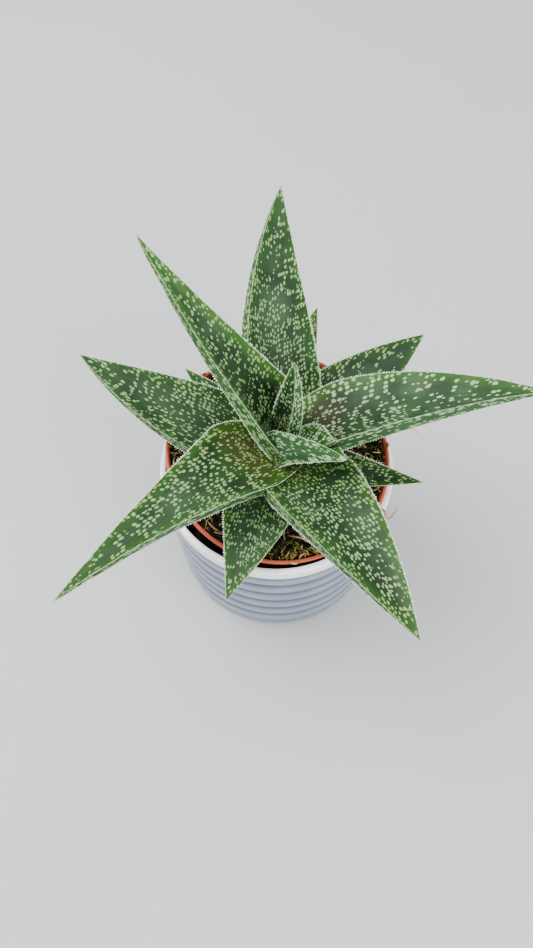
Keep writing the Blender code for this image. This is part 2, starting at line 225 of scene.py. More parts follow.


# From the innermost leaf outwards: a leaf makes room for those named before it.
# The shade, heart and bloom values hold painted light and shade for each leaf, each partly its own
# colour.
LEAVES = [
    Leaf("leaf_new", (2, 1, 119), 73, -8, (70, 70), 20, 5.5, keel=0.3, depth=2),
    Leaf("leaf_centre_right", (2.5, -2, 120), -35.5, -11, (44, 30), 47, 31, roll=(-36, -51),
         taper=1.0, widest=0.3, base_share=0.7, channel=0.68, keel=-0.42, depth=10.5,
         spots=0.48, grain=0.75, bloom_and_sheen=0.7, rust=0.0, shade=1.25, pale=0.9),
    Leaf("leaf_centre_upright", (0, 3.5, 118), 59, 24, (72, 71), 52, 12.5, roll=(-14, -16),
         taper=1.8, base_share=0.7, keel=-1.5, depth=6.5, spots=0.55, grain=0.75, shade=1.1,
         heart_shade=0.8, edging=0.85, pale=0.6),
    Leaf("leaf_upper_left", (1.5, 6, 119), 153, -34, (72, 43), 129, 38, roll=(4, 7),
         taper=0.9, widest=0.2, base_share=0.65, channel=0.42, keel=0.95, depth=8, clasp=8,
         shade=1.08, heart_shade=1.0, edging=0.8, dry=0.6),
    Leaf("leaf_right", (7.5, 4, 117), 1, -9, (28, 11), 128, 46, roll=(-17, -27), taper=1.75,
         base_share=0.65, channel=0.45, keel=-0.8, depth=8, under=("leaf_centre_right",),
         spots=0.38, grain=1.12, bloom_and_sheen=0.42, rust=1.0, shade=1.15, heart_shade=0.45, edging=0.4,
         pale=0.45, dry=0.3),
    Leaf("leaf_lower_left", (-7.5, -3, 118), -134, 2, (28, 1), 130, 44, roll=(-9, 14),
         taper=0.87, widest=0.15, base_share=0.8, channel=0.3, keel=0.9, depth=8.5, clasp=12,
         grain=1.0, rust=0.55, shade=0.85, edging=0.5),
    Leaf("leaf_back", (5, 10, 112), 92, -24, (50, 36), 125, 42, roll=(27, 20), taper=1.55,
         widest=0.2, base_share=0.6, channel=0.35, keel=1.05, depth=8, spots=0.54, grain=0.82,
         heart_shade=0.4, edging=0.25, dry=0.85),
    Leaf("leaf_lower_right", (6, -7, 113), -61, -5, (24, 2), 117, 46, roll=(-10, -3),
         taper=1.45, widest=0.2, base_share=0.6, channel=0.35, keel=-1.0, depth=8,
         under=("leaf_lower_left",), spots=0.55, shade=0.87, edging=0.55, dry=0.5),
    Leaf("leaf_left", (-9, 3, 113), 159, -22, (24, 14), 103, 40, roll=(2, 3), taper=1.5,
         channel=0.27, keel=1.0, depth=7, shade=0.83, edging=0.3),
    Leaf("leaf_back_right", (7, 6, 111), 37, 2, (21, 7), 93, 40, roll=(3, 1), taper=1.5,
         widest=0.3, keel=-0.5, depth=6, shade=0.72, edging=0.35),
    Leaf("leaf_front", (-3, -9, 109), -106, -7, (13, -4), 75.5, 38, taper=1.15, widest=0.3,
         channel=0.15, keel=0.5, depth=5, spots=0.6, grain=0.75, shade=0.85,
         edging=0.35),
    Leaf("leaf_right_small", (9, -3, 109), -15, 10, (12, 3), 68, 24, taper=1.3, keel=-0.5,
         grain=0.75, shade=0.8, edging=0.4),
    Leaf("leaf_behind_back", (2, 9, 111), 72, -9, (31, 24), 72, 25, taper=1.5, widest=0.28,
         under=("leaf_right", "leaf_back"), grain=0.75),
    Leaf("leaf_back_left_small", (-7, 6, 111), 140, -6, (26, 15), 57, 22, channel=0.15),
]

# Camera and light, in metres, degrees and pixels
PHOTO_WIDTH = 533
PHOTO_HEIGHT = 948
CAMERA_PLACE = (0.0, -0.1902, 0.4537)
CAMERA_YAW = -1.63
CAMERA_PITCH = 62.51
CAMERA_ROLL = -1.52
FOCAL_PIXELS = 750.0
SENSOR = 36.0
HORIZON_SHARE = 0.35
FLOOR_HALF = 8.0
SOFTBOX_SIZE = 0.8
LIGHT_TARGET = (0, 0, 0.1)


class Graph:
    """Adds nodes to one node tree and wires them by the names of their sockets."""

    def __init__(self, tree):
        self.tree = tree

    def put(self, socket, value):
        if isinstance(value, bpy.types.NodeSocket):
            self.tree.links.new(value, socket)
        elif socket.type == "RGBA" and len(value) == 3:
            socket.default_value = (*value, 1.0)
        else:
            socket.default_value = value

    def add(self, kind, inputs=None, **settings):
        node = self.tree.nodes.new(kind)
        for key, value in settings.items():
            setattr(node, key, value)
        for key, value in (inputs or {}).items():
            self.put(node.inputs[key], value)
        return node

    def math(self, operation, *values):
        node = self.add("ShaderNodeMath", operation=operation)
        for socket, value in zip(node.inputs, values):
            self.put(socket, value)
        return node.outputs[0]

    def times(self, first, second):
        return self.math("MULTIPLY", first, second)

    def plus(self, first, second):
        return self.math("ADD", first, second)

    def join(self, x, y, z=0.0):
        return self.add("ShaderNodeCombineXYZ", {"X": x, "Y": y, "Z": z}).outputs[0]

    def split(self, vector):
        return self.add("ShaderNodeSeparateXYZ", {"Vector": vector}).outputs

    def ease(self, value, start, stop, low=0.0, high=1.0):
        """Rises or falls smoothly from low to high while value goes from start to stop."""
        inputs = {"Value": value, "From Min": start, "From Max": stop, "To Min": low, "To Max": high}
        node = self.add("ShaderNodeMapRange", inputs, interpolation_type="SMOOTHSTEP")
        return node.outputs[0]

    def blend(self, share, low, high, blend_type="MIX"):
        node = self.add("ShaderNodeMix", data_type="RGBA", blend_type=blend_type)
        for index, value in ((0, share), (6, low), (7, high)):
            self.put(node.inputs[index], value)
        return node.outputs[2]

    def noise(self, vector, scale, detail=2.0, roughness=0.5):
        inputs = {"Vector": vector, "Scale": scale, "Detail": detail, "Roughness": roughness}
        return self.add("ShaderNodeTexNoise", inputs).outputs[0]

    def cells(self, vector, scale, randomness):
        """Cells on a flat map, whose outputs are Distance, Color and Position."""
        inputs = {"Vector": vector, "Scale": scale, "Randomness": randomness}
        return self.add("ShaderNodeTexVoronoi", inputs, voronoi_dimensions="2D").outputs

    def ramp(self, value, *stops):
        """A colour ramp with stops of (position, colour)."""
        node = self.add("ShaderNodeValToRGB", {"Fac": value})
        points = node.color_ramp.elements
        while len(points) < len(stops):
            points.new(0.5)
        for point, (position, colour) in zip(points, stops):
            point.position = position
            point.color = (*colour, 1.0)
        return node.outputs[0]

    def bump(self, height, distance, strength=1.0, normal=None):
        """Relief whose height of 1 stands for the given distance in metres."""
        inputs = {"Height": height, "Distance": distance, "Strength": strength}
        if normal is not None:
            inputs["Normal"] = normal
        return self.add("ShaderNodeBump", inputs).outputs[0]

    def named(self, name, data_type="FLOAT"):
        """A named attribute of the geometry."""
        inputs = {"Name": name}
        return self.add("GeometryNodeInputNamedAttribute", inputs, data_type=data_type).outputs[0]

    def random(self, seed, low=0.0, high=1.0, data_type="FLOAT"):
        """A random value for each point or instance."""
        node = self.add("FunctionNodeRandomValue", {"Seed": seed}, data_type=data_type)
        first = 0 if data_type == "FLOAT_VECTOR" else 2
        self.put(node.inputs[first], low)
        self.put(node.inputs[first + 1], high)
        return node.outputs[first // 2]


class MaterialGraph(Graph):
    """The graph of a new Principled material, with constants on its shader's sockets."""

    def __init__(self, name, **constants):
        self.material = bpy.data.materials.new(name)
        self.material.use_nodes = True
        super().__init__(self.material.node_tree)
        self.paint(**constants)

    def paint(self, **values):
        """Put values on the shader's sockets, named with underscores, and give the material."""
        shader = self.tree.nodes["Principled BSDF"]
        for key, value in values.items():
            name = key.replace("_", " ").title().replace("Ior", "IOR")
            self.put(shader.inputs[name], value)
        return self.material

    def place(self):
        """Object coordinates in millimetres."""
        node = self.add("ShaderNodeVectorMath", {"Scale": 1 / MM}, operation="SCALE")
        self.put(node.inputs[0], self.add("ShaderNodeTexCoord").outputs["Object"])
        return node.outputs[0]


def new_tree(name, output, inputs):
    """A geometry tree's graph and the sockets of its named inputs."""
    tree = bpy.data.node_groups.new(name, "GeometryNodeTree")
    for label, kind in inputs.items():
        tree.interface.new_socket(label, in_out="INPUT", socket_type="NodeSocket" + kind)
    tree.interface.new_socket(output, in_out="OUTPUT", socket_type="NodeSocketGeometry")
    graph = Graph(tree)
    return graph, graph.add("NodeGroupInput").outputs


def coat(item, material):
    """Make a material the only one of an item."""
    item.data.materials.clear()
    item.data.materials.append(material)


def new_object(name, mesh, material=None):
    """A linked object at the origin."""
    item = bpy.data.objects.new(name, mesh)
    if material is not None:
        coat(item, material)
    bpy.context.scene.collection.objects.link(item)
    return item


def remove(items):
    """Delete helper objects."""
    for item in list(items):
        bpy.data.objects.remove(item)


def from_bmesh(name, bm, sharp=40.0):
    """A smooth mesh from a bmesh, sharp where faces meet at more than the given angle."""
    bmesh.ops.recalc_face_normals(bm, faces=bm.faces)
    mesh = bpy.data.meshes.new(name)
    bm.to_mesh(mesh)
    bm.free()
    mesh.shade_smooth()
    mesh.set_sharp_from_angle(angle=math.radians(sharp))
    return mesh


def solid(name, bm, sharp=40.0, material=None):
    """A linked object made of a bmesh."""
    return new_object(name, from_bmesh(name, bm, sharp), material)


def circle(radius, height, sides):
    """Points round Z at a height."""
    turns = [math.tau * side / sides for side in range(sides)]
    return [(radius * math.cos(turn), radius * math.sin(turn), height) for turn in turns]


def bridge(bm, rows):
    """Join closed rows of vertices by faces. A point stands for a row that repeats it."""
    for low, high in zip(rows, rows[1:]):
        for side in range(len(low)):
            after = (side + 1) % len(low)
            bm.faces.new(dict.fromkeys((low[side], low[after], high[after], high[side])))


def turned(profile, sides):
    """A closed bmesh turned about Z from (radius, height) points that start and end on Z."""
    bm = bmesh.new()
    rows = []
    for radius, height in profile:
        if radius == 0:
            rows.append([bm.verts.new((0, 0, height * MM))] * sides)
        else:
            rows.append([bm.verts.new([value * MM for value in point])
                         for point in circle(radius, height, sides)])
    bridge(bm, rows)
    return bm


def arc(centre, radius, start, end, steps):
    """Points on an arc in the (radius, height) plane, angles in degrees."""
    angles = np.radians(np.linspace(start, end, steps + 1))
    return [(centre[0] + radius * math.cos(a), centre[1] + radius * math.sin(a)) for a in angles]


def evaluated_mesh(item):
    """A plain mesh of what an item's modifiers make of it."""
    bpy.context.view_layer.update()
    depsgraph = bpy.context.evaluated_depsgraph_get()
    return bpy.data.meshes.new_from_object(item.evaluated_get(depsgraph))


def cut(item, cutters):
    """Take closed cutters out of an item, which stay for others to use."""
    for cutter in cutters:
        step = item.modifiers.new("cut", "BOOLEAN")
        step.operation = "DIFFERENCE"
        step.solver = "MANIFOLD"
        step.object = cutter
    mesh = evaluated_mesh(item)
    item.modifiers.clear()
    item.data = mesh


def grow(item, tree, inputs):
    """Run a geometry tree on an item and keep what it makes as the item's plain mesh."""
    step = item.modifiers.new(tree.name, "NODES")
    step.node_group = tree
    sockets = {s.name: s.identifier for s in tree.interface.items_tree
               if s.item_type == "SOCKET" and s.in_out == "INPUT"}
    for name, value in inputs.items():
        step[sockets[name]] = value
    mesh = evaluated_mesh(item)
    item.modifiers.remove(step)
    if not mesh.polygons:
        raise RuntimeError(f"{tree.name} made nothing for {item.name}")
    item.data = mesh


def add_piece(item, slot, *nodes):
    """Hand a finished piece to the frame: its body and the nodes it stands for. The slot is not used.
    """
    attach(item, BODY)
    if nodes:
        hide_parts(*nodes)


# Ceramic cover pot


def pot_wall(height):
    """Radius of the cover pot's plain tapering wall at a height."""
    widening = POT_RIM_RADIUS - POT_RIM_PROUD - POT_FOOT_RADIUS
    return POT_FOOT_RADIUS + widening * height / POT_HEIGHT


def cover_pot_profile(ribs, bulge):
    """The cover pot's outline from the middle of its underside over the rim to its floor."""
    rib_foot = POT_FOOT_BAND
    rib_top = POT_HEIGHT - POT_RIM_BAND
    steps = 16
    profile = [(0, FOOT_RECESS), (FOOT_RING - 1, FOOT_RECESS), (FOOT_RING, 0)]
    profile += arc((pot_wall(0) - POT_FOOT_ROUND, POT_FOOT_ROUND), POT_FOOT_ROUND, -90, 0, 8)
    pitch = (rib_top - rib_foot) / ribs
    for place in range(ribs * steps + 1):
        share = place % steps / steps
        height = rib_foot + place / steps * pitch
        groove = GROOVE_DEPTH * math.exp(-(min(share, 1 - share) * pitch / GROOVE_WIDTH) ** 2)
        out = bulge * math.sin(math.pi * share) ** 0.8 - groove
        profile.append((pot_wall(height) + out, height))
    rim_round = (POT_RIM_RADIUS - POT_INNER_RADIUS) / 2
    shoulder = POT_RIM_STEP
    profile += arc((POT_RIM_RADIUS - shoulder, rib_top + shoulder), shoulder, -60, 0, 4)
    profile += arc((POT_RIM_RADIUS - rim_round, POT_HEIGHT - rim_round), rim_round, 0, 90, 8)
    corner = POT_RIM_CORNER
    profile += arc((POT_INNER_RADIUS + corner, POT_HEIGHT - corner), corner, 90, 180, 6)
    floor_corner = (POT_FLOOR_RADIUS - POT_FLOOR_ROUND, POT_FLOOR_THICKNESS + POT_FLOOR_ROUND)
    profile += arc(floor_corner, POT_FLOOR_ROUND, 0, -90, 6)
    profile.append((0, POT_FLOOR_THICKNESS))
    return profile


def glaze_material(settings):
    """White glaze, painted shade on the ribbed body and in the grooves, bare clay under the foot."""
    graph = MaterialGraph("glaze", ior=1.5, coat_weight=0.35, coat_roughness=0.12)
    place = graph.place()
    height = graph.split(place)[2]
    pitch = (POT_HEIGHT - POT_RIM_BAND - POT_FOOT_BAND) / settings.ribs
    ribbed = graph.math("DIVIDE", graph.math("SUBTRACT", height, POT_FOOT_BAND), pitch)
    to_groove = graph.math("PINGPONG", ribbed, 0.5)
    low, high = POT_FOOT_BAND - 0.5, POT_HEIGHT - POT_RIM_BAND + 0.5
    on_ribs = graph.times(graph.math("GREATER_THAN", height, low),
                          graph.math("LESS_THAN", height, high))
    # Painted shade in the grooves between the ribs, darkest at their middle.
    groove = graph.times(graph.ease(to_groove, 0.0, 0.34, 1.0, 0.0), on_ribs)
    cloud = graph.ease(graph.noise(place, 0.05, 3.0), 0.35, 0.65)
    # thin is painted shade of the ribbed sides, as under overhead light, clouded a little with white
    # glaze.
    thin = graph.blend(0.94, graph.blend(cloud, settings.glaze, settings.rib_shade),
                       settings.rib_shade)
    # The rim band above the ribs keeps the white glaze, without the painted shade.
    body = graph.blend(graph.ease(height, high - 1.5, high + 0.5), thin, settings.glaze)
    lined = graph.blend(graph.times(groove, 0.85), body, settings.groove)
    specks = graph.ease(graph.noise(place, 1.1, 1.0), 0.74, 0.78, 0.0, 0.35)
    glazed = graph.blend(specks, lined, settings.groove)
    bare = graph.ease(height, 0.25, 0.05)
    clay = graph.blend(graph.noise(place, 2.0, 4.0), srgb(196, 180, 160), srgb(222, 210, 192))
    ripple = graph.bump(graph.noise(place, 0.09), 0.5 * MM, 0.6)
    return graph.paint(base_color=graph.blend(bare, glazed, clay),
                       roughness=graph.ease(bare, 0.0, 1.0, 0.24, 0.8),
                       normal=graph.bump(graph.noise(place, 2.5), 0.02 * MM, 0.5, ripple))


def build_cover_pot(settings):
    profile = cover_pot_profile(settings.ribs, settings.rib_bulge / MM)
    item = solid("cover_pot", turned(profile, 192), material=glaze_material(settings))
    add_piece(item, "glazed_ceramic", "ceramic_pot")


# Nursery pot


def nursery_frame():
    """Where the tilted nursery pot stands: its floor's centre and its turn."""
    turn = Euler([math.radians(angle) for angle in NURSERY_TILT] + [0.0]).to_matrix()
    floor = Vector(NURSERY_LIP_CENTRE) - turn @ Vector((0, 0, NURSERY_HEIGHT))
    return Matrix.Translation(floor * MM) @ turn.to_4x4()


def nursery_wall(height):
    """Outer radius of the nursery pot below its lip."""
    widening = NURSERY_TOP_RADIUS - NURSERY_FLOOR_RADIUS
    return NURSERY_FLOOR_RADIUS + widening * height / NURSERY_HEIGHT


def nursery_profile():
    """The nursery pot's outline, with moulded lines round its wall and its stepped lip."""
    top = NURSERY_HEIGHT
    lip_foot = top - NURSERY_LIP_DROP
    lip_inside = NURSERY_LIP_RADIUS - NURSERY_LIP_WIDTH
    skirt = NURSERY_LIP_RADIUS - NURSERY_LIP_TAPER
    line = NURSERY_LINE_RISE
    profile = [(0, 0.8), (12, 0.8), (13, 0), (NURSERY_FLOOR_RADIUS - NURSERY_HEEL / 2, 0),
               (nursery_wall(1) - 0.3, 0.5), (nursery_wall(NURSERY_HEEL), NURSERY_HEEL)]
    for height in NURSERY_LINES:
        profile += [(nursery_wall(height), height - 0.6), (nursery_wall(height) + line, height),
                    (nursery_wall(height), height + 0.6)]
    profile += [(nursery_wall(lip_foot), lip_foot), (skirt - NURSERY_EDGE, lip_foot),
                (skirt - 0.1, lip_foot + 0.3), (skirt, lip_foot + 3 * NURSERY_EDGE)]
    for height in (lip_foot + 2.6, top - 1.9):
        out = skirt + NURSERY_LIP_TAPER * (height - lip_foot - 1.5) / (NURSERY_LIP_DROP - 2)
        profile += [(out, height - 0.35), (out - line, height), (out + 0.05, height + 0.35)]
    edge = NURSERY_EDGE
    profile += arc((NURSERY_LIP_RADIUS - edge, top - edge), edge, 0, 90, 4)
    profile += [(lip_inside + 0.75, top), (lip_inside + 0.6, top - 0.3), (lip_inside + 0.35, top - 0.3)]
    profile += [(lip_inside, top - 0.8), (lip_inside - 0.1, top - 2.4), (lip_inside - 0.45, top - 2.7)]
    profile += [(lip_inside - edge, lip_foot + NURSERY_WALL),
                (nursery_wall(lip_foot) - NURSERY_WALL, lip_foot - NURSERY_WALL),
                (nursery_wall(NURSERY_HEEL) - NURSERY_WALL, NURSERY_HEEL),
                (NURSERY_FLOOR_RADIUS - NURSERY_HEEL, NURSERY_WALL + 0.8),
                (0, NURSERY_WALL + 0.8)]
    return profile


def plastic_material(settings):
    """Matt moulded plastic, clouded, scuffed pale and dusted with peat."""
    graph = MaterialGraph("nursery_plastic", ior=1.46, specular_ior_level=0.4)
    place = graph.place()
    cloud = graph.ease(graph.noise(place, 0.06, 3.0), 0.3, 0.7)
    body = graph.blend(cloud, settings.plastic, settings.plastic_pale)
    scuffs = graph.ease(graph.noise(place, 0.9, 4.0, 0.7), 0.60, 0.72, 0.0, 0.35)
    body = graph.blend(scuffs, body, srgb(232, 150, 120))
    dust = graph.ease(graph.noise(place, 1.4, 3.0, 0.65), 0.60, 0.68, 0.0, 0.85)
    grain = graph.noise(place, 3.0, 3.0)
    return graph.paint(base_color=graph.blend(dust, body, srgb(70, 42, 26)),
                       roughness=graph.ease(grain, 0.2, 0.8, 0.42, 0.58),
                       normal=graph.bump(grain, 0.05 * MM, 0.5))


def build_nursery_pot(settings):
    item = solid("nursery_pot_moulded", turned(nursery_profile(), 160), NURSERY_SHARP)
    holes = []
    for turn in np.linspace(0, math.tau, DRAIN_HOLE_COUNT, endpoint=False) + DRAIN_HOLE_START:
        hole = turned([(0, -5), (DRAIN_HOLE_RADIUS, -5), (DRAIN_HOLE_RADIUS, 5), (0, 5)], 32)
        place = Vector((math.cos(turn), math.sin(turn), 0)) * DRAIN_HOLE_RING * MM
        bmesh.ops.translate(hole, verts=hole.verts, vec=place)
        holes.append(solid("drain_hole", hole))
    cut(item, holes)
    remove(holes)
    item.data.set_sharp_from_angle(angle=math.radians(NURSERY_SHARP))
    item.data.transform(nursery_frame())
    coat(item, plastic_material(settings))
    add_piece(item, "nursery_plastic", "nursery_pot")


# Peat, moss and fibres


def peat_reach():
    """Radius of the peat's surface, a little inside the nursery pot's wall."""
    return nursery_wall(NURSERY_HEIGHT - NURSERY_LIP_DROP) - NURSERY_WALL - PEAT_GAP


def peat_height(x, y):
    """Height of the peat's plain surface in the nursery pot's frame, in millimetres."""
    share = math.hypot(x, y) / peat_reach()
    dish = PEAT_DISH * (share ** 2 - 1)
    lumps = noise.noise(Vector((x, y, 0.0)) / PEAT_GRAIN)
    crumbs = noise.noise(Vector((x, y, PEAT_GRAIN)) / PEAT_GRAIN * 2)
    relief = PEAT_RELIEF * (lumps + crumbs / 2) * (1 - min(share, 1) ** 6)
    height = NURSERY_HEIGHT - PEAT_BELOW_LIP + dish + relief
    return min(height, NURSERY_HEIGHT - PEAT_BELOW_LIP)


def peat_heap(sides):
    """The peat heaped against the inside of the lip, as rows of points from the lip inwards."""
    return [[(x, y, z + HEAP_RELIEF * noise.noise(Vector((x, y, PEAT_GRAIN)) / HEAP_GRAIN))
             for x, y, z in circle(radius, height, sides)] for radius, height in PEAT_HEAP]


def peat_surface(rings, sides):
    """The peat's top as rows of points, from the rim to the middle, with fine crumbs."""
    rows = []
    for ring in range(rings, 0, -1):
        relief = 0.0 if ring == rings else CRUMB_RELIEF
        row = []
        for x, y, _ in circle(peat_reach() * ring / rings, 0.0, sides):
            crumbs = noise.fractal(Vector((x, y, 0)) / CRUMB_GRAIN, 1.0, 2.0, 3)
            row.append((x, y, peat_height(x, y) + relief * crumbs))
        rows.append(row)
    return rows


def peat_bmesh():
    """The filled body of peat, from the nursery pot's floor to the crumbled surface."""
    sides = 180
    heel = NURSERY_HEEL + PEAT_GAP
    shoulder = NURSERY_HEIGHT - NURSERY_LIP_DROP - NURSERY_WALL - PEAT_GAP
    inset = NURSERY_WALL + PEAT_GAP
    floor = NURSERY_WALL + PEAT_LIFT
    wall = ((NURSERY_FLOOR_RADIUS - NURSERY_HEEL - PEAT_GAP, floor),
            (nursery_wall(heel) - inset, heel),
            (nursery_wall(shoulder) - inset, shoulder), *PEAT_LEDGE)
    rows = [circle(radius, height, sides) for radius, height in wall]
    bm = bmesh.new()
    verts = [[bm.verts.new(Vector(point) * MM) for point in row]
             for row in rows + peat_heap(sides) + peat_surface(60, sides)]
    ends = [[bm.verts.new((0, 0, height * MM))] * sides for height in (floor, peat_height(0, 0))]
    bridge(bm, [ends[0], *verts, ends[1]])
    return bm


def peat_material(settings):
    """Near-black damp peat with brown crumbs and a few paler grains."""
    graph = MaterialGraph("peat", roughness=0.92, specular_ior_level=0.25)
    place = graph.place()
    crumbs = graph.noise(place, 0.5, 5.0, 0.7)
    colour = graph.ramp(crumbs, (0.35, settings.peat_dark), (0.58, settings.peat_brown),
                        (0.8, srgb(40, 30, 17)))
    grains = graph.add("ShaderNodeTexVoronoi", {"Vector": place, "Scale": 0.45}).outputs
    pale = graph.ease(grains["Distance"], 0.12, 0.2, 0.8, 0.0)
    return graph.paint(base_color=graph.blend(pale, colour, srgb(120, 92, 52)),
                       normal=graph.bump(crumbs, 0.8 * MM, 0.9))


def strand_material(name, tones, roughness):
    """Dry or living strands, each with its own tone and darker streaks along it."""
    graph = MaterialGraph(name, roughness=roughness, specular_ior_level=0.3)
    places = np.linspace(0.0, 1.0, len(tones)).tolist()
    tone = graph.add("ShaderNodeAttribute", attribute_name="tone").outputs["Fac"]
    grain = graph.noise(graph.place(), 1.8, 3.0)
    colour = graph.blend(graph.ease(grain, 0.35, 0.65, 0.6, 0.0),
                         graph.ramp(tone, *zip(places, tones)), srgb(30, 20, 8))
    return graph.paint(base_color=colour, normal=graph.bump(grain, 0.1 * MM, 0.6))


def tube(bm, points, radii, sides):
    """Add a closed tube through points, with a radius at each, to a bmesh."""
    rows = []
    for place, (point, radius) in enumerate(zip(points, radii)):
        before = points[max(place - 1, 0)]
        after = points[min(place + 1, len(points) - 1)]
        along = (after - before).normalized()
        across = along.orthogonal() if place == 0 else across - along * across.dot(along)
        across.normalize()
        square = along.cross(across)
        rows.append([bm.verts.new(point + x * across + y * square)
                     for x, y, _ in circle(radius, 0.0, sides)])
    bridge(bm, rows)
    bm.faces.new(rows[0][::-1])
    bm.faces.new(rows[-1])


def tapered(radius, steps, loss):
    """Radii along a strand that lose the given share of themselves at both ends."""
    return [radius * (1 - loss * abs(2 * place / steps - 1) ** 3) for place in range(steps + 1)]


def strands(seed, count, curl, thickness):
    """Strands one unit long, each bent its own way."""
    draw = np.random.default_rng(seed)
    steps = 7
    for _ in range(count):
        bm = bmesh.new()
        points = [Vector((-0.5, 0, 0))]
        heading, rise = 0.0, draw.uniform(-0.3, 0.3)
        for _ in range(steps):
            heading += draw.uniform(-curl, curl)
            rise += draw.uniform(-curl, curl) * 0.6
            step = Vector((math.cos(heading) * math.cos(rise), math.sin(heading), math.sin(rise)))
            points.append(points[-1] + step / steps)
        tube(bm, points, tapered(thickness, steps, 0.75), 4)
        yield bm


def crumbs(seed, count):
    """Irregular crumbs about one unit across."""
    for kind in range(count):
        bm = bmesh.new()
        bmesh.ops.create_icosphere(bm, subdivisions=1, radius=0.5)
        for vert in bm.verts:
            push = noise.noise(vert.co * 2.2 + Vector((seed, kind, 0)))
            vert.co *= 1 + 0.7 * push
            vert.co.z *= 0.65
        yield bm


def kinds_of(name, shapes, sharp):
    """A hidden collection of small shapes, one unit in size, to scatter."""
    kinds = bpy.data.collections.new(name + " kinds")
    for place, bm in enumerate(shapes):
        kinds.objects.link(bpy.data.objects.new(f"{name}_{place}", from_bmesh(name, bm, sharp)))
    return kinds


def scatter_tree():
    """A geometry tree that scatters the kinds of a collection over a surface.

    The surface's own cover attribute says where they stand thick.
    """
    graph, given = new_tree("scatter on peat", "Pieces", {
        "Surface": "Geometry", "Kinds": "Collection", "Density": "Float", "Smallest": "Float",
        "Largest": "Float", "Lean": "Float", "Lift": "Float", "Seed": "Int",
        "Material": "Material"})
    seed, lean = given["Seed"], given["Lean"]
    spread = graph.add("GeometryNodeDistributePointsOnFaces", {
        "Mesh": given["Surface"], "Seed": seed,
        "Density": graph.times(given["Density"], graph.named("cover"))})
    lifted = graph.add("GeometryNodeSetPosition", {
        "Geometry": spread.outputs["Points"], "Offset": graph.join(0.0, 0.0, given["Lift"])})
    kinds = graph.add("GeometryNodeCollectionInfo", {
        "Collection": given["Kinds"], "Separate Children": True, "Reset Children": True})
    back = graph.times(lean, -1.0)
    turn = graph.random(seed, graph.join(back, back), graph.join(lean, lean, math.tau),
                        "FLOAT_VECTOR")
    placed = graph.add("GeometryNodeInstanceOnPoints", {
        "Points": lifted.outputs[0], "Instance": kinds.outputs[0], "Pick Instance": True,
        "Rotation": turn,
        "Scale": graph.random(graph.plus(seed, 5.0), given["Smallest"], given["Largest"])})
    toned = graph.add("GeometryNodeStoreNamedAttribute", {
        "Geometry": placed.outputs[0], "Name": "tone",
        "Value": graph.random(graph.plus(seed, 9.0))}, data_type="FLOAT", domain="INSTANCE")
    real = graph.add("GeometryNodeRealizeInstances", {"Geometry": toned.outputs[0]})
    painted = graph.add("GeometryNodeSetMaterial", {
        "Geometry": real.outputs[0], "Material": given["Material"]})
    graph.add("NodeGroupOutput", {"Pieces": painted.outputs[0]})
    return graph.tree


def scatter_surface(name, cover):
    """The peat's top as an open sheet, with a cover value at each point."""
    sides = 96
    rows = peat_heap(sides) + peat_surface(40, sides)
    rings = len(rows)
    points = [point for row in rows for point in row]
    faces = [(ring * sides + side, ring * sides + (side + 1) % sides,
              (ring + 1) * sides + (side + 1) % sides, (ring + 1) * sides + side)
             for ring in range(rings - 1) for side in range(sides)]
    mesh = bpy.data.meshes.new(name)
    mesh.from_pydata([Vector(point) * MM for point in points], [], faces)
    values = mesh.attributes.new("cover", "FLOAT", "POINT")
    values.data.foreach_set("value", [cover(*point[:2]) for point in points])
    mesh.transform(nursery_frame())
    return new_object(name, mesh)


def near_rim(x, y, start, patch):
    """Thick near the rim and thin towards the stem, in patches."""
    share = math.hypot(x, y) / peat_reach()
    rise = min(max((share - start) / (1 - start), 0.0), 1.0)
    patches = 0.65 + noise.noise(Vector((x, y, patch)) / 9.0) * 1.3
    return rise * min(max(patches, 0.05), 1.0)


def share_covered(x, y, patches):
    """How far soft round patches, given by their middle and reach, cover a place."""
    return min(1.0, sum(math.exp(-((x - at_x) ** 2 + (y - at_y) ** 2) / reach ** 2)
                        for at_x, at_y, reach in patches))


def moss_cover(x, y):
    """Grainy cushions and a thin scatter near the rim."""
    grain = 0.7 + noise.noise(Vector((x, y, 0.0)) / 4.0)
    moss = share_covered(x, y, MOSS_CUSHIONS)
    return min(max(moss * grain, 0.0), 1.0) + 0.2 * near_rim(x, y, 0.5, 0)


def fibre_cover(x, y):
    """Patches near the rim that thin out where moss stands."""
    return near_rim(x, y, 0.35, 40) * (1 - 0.65 * share_covered(x, y, MOSS_CUSHIONS))


def straw_cover(x, y):
    """A few heaps of short bits, where the photo shows them."""
    return share_covered(x, y, STRAW_PATCHES)


def crumb_cover(x, y):
    """Even, and thicker on the heap against the nursery pot's lip."""
    return 1.0 + 1.5 * near_rim(x, y, 0.9, 7)


def scatter(name, kinds, cover, material, tree, inputs):
    """Grow one kind of litter on the peat and hand it over."""
    item = scatter_surface(name, cover)
    grow(item, tree, {"Kinds": kinds, "Material": material, **inputs})
    item.data.name = name
    item.data.shade_smooth()
    remove(kinds.objects)
    bpy.data.collections.remove(kinds)
    add_piece(item, "peat")


def build_peat(settings):
    item = solid("peat_filling", peat_bmesh(), 70.0)
    item.data.transform(nursery_frame())
    hole = solid("stem_hole", stem_bmesh(STEM_CLEARANCE))
    cut(item, [hole])
    remove([hole])
    coat(item, peat_material(settings))
    add_piece(item, "peat", "soil")


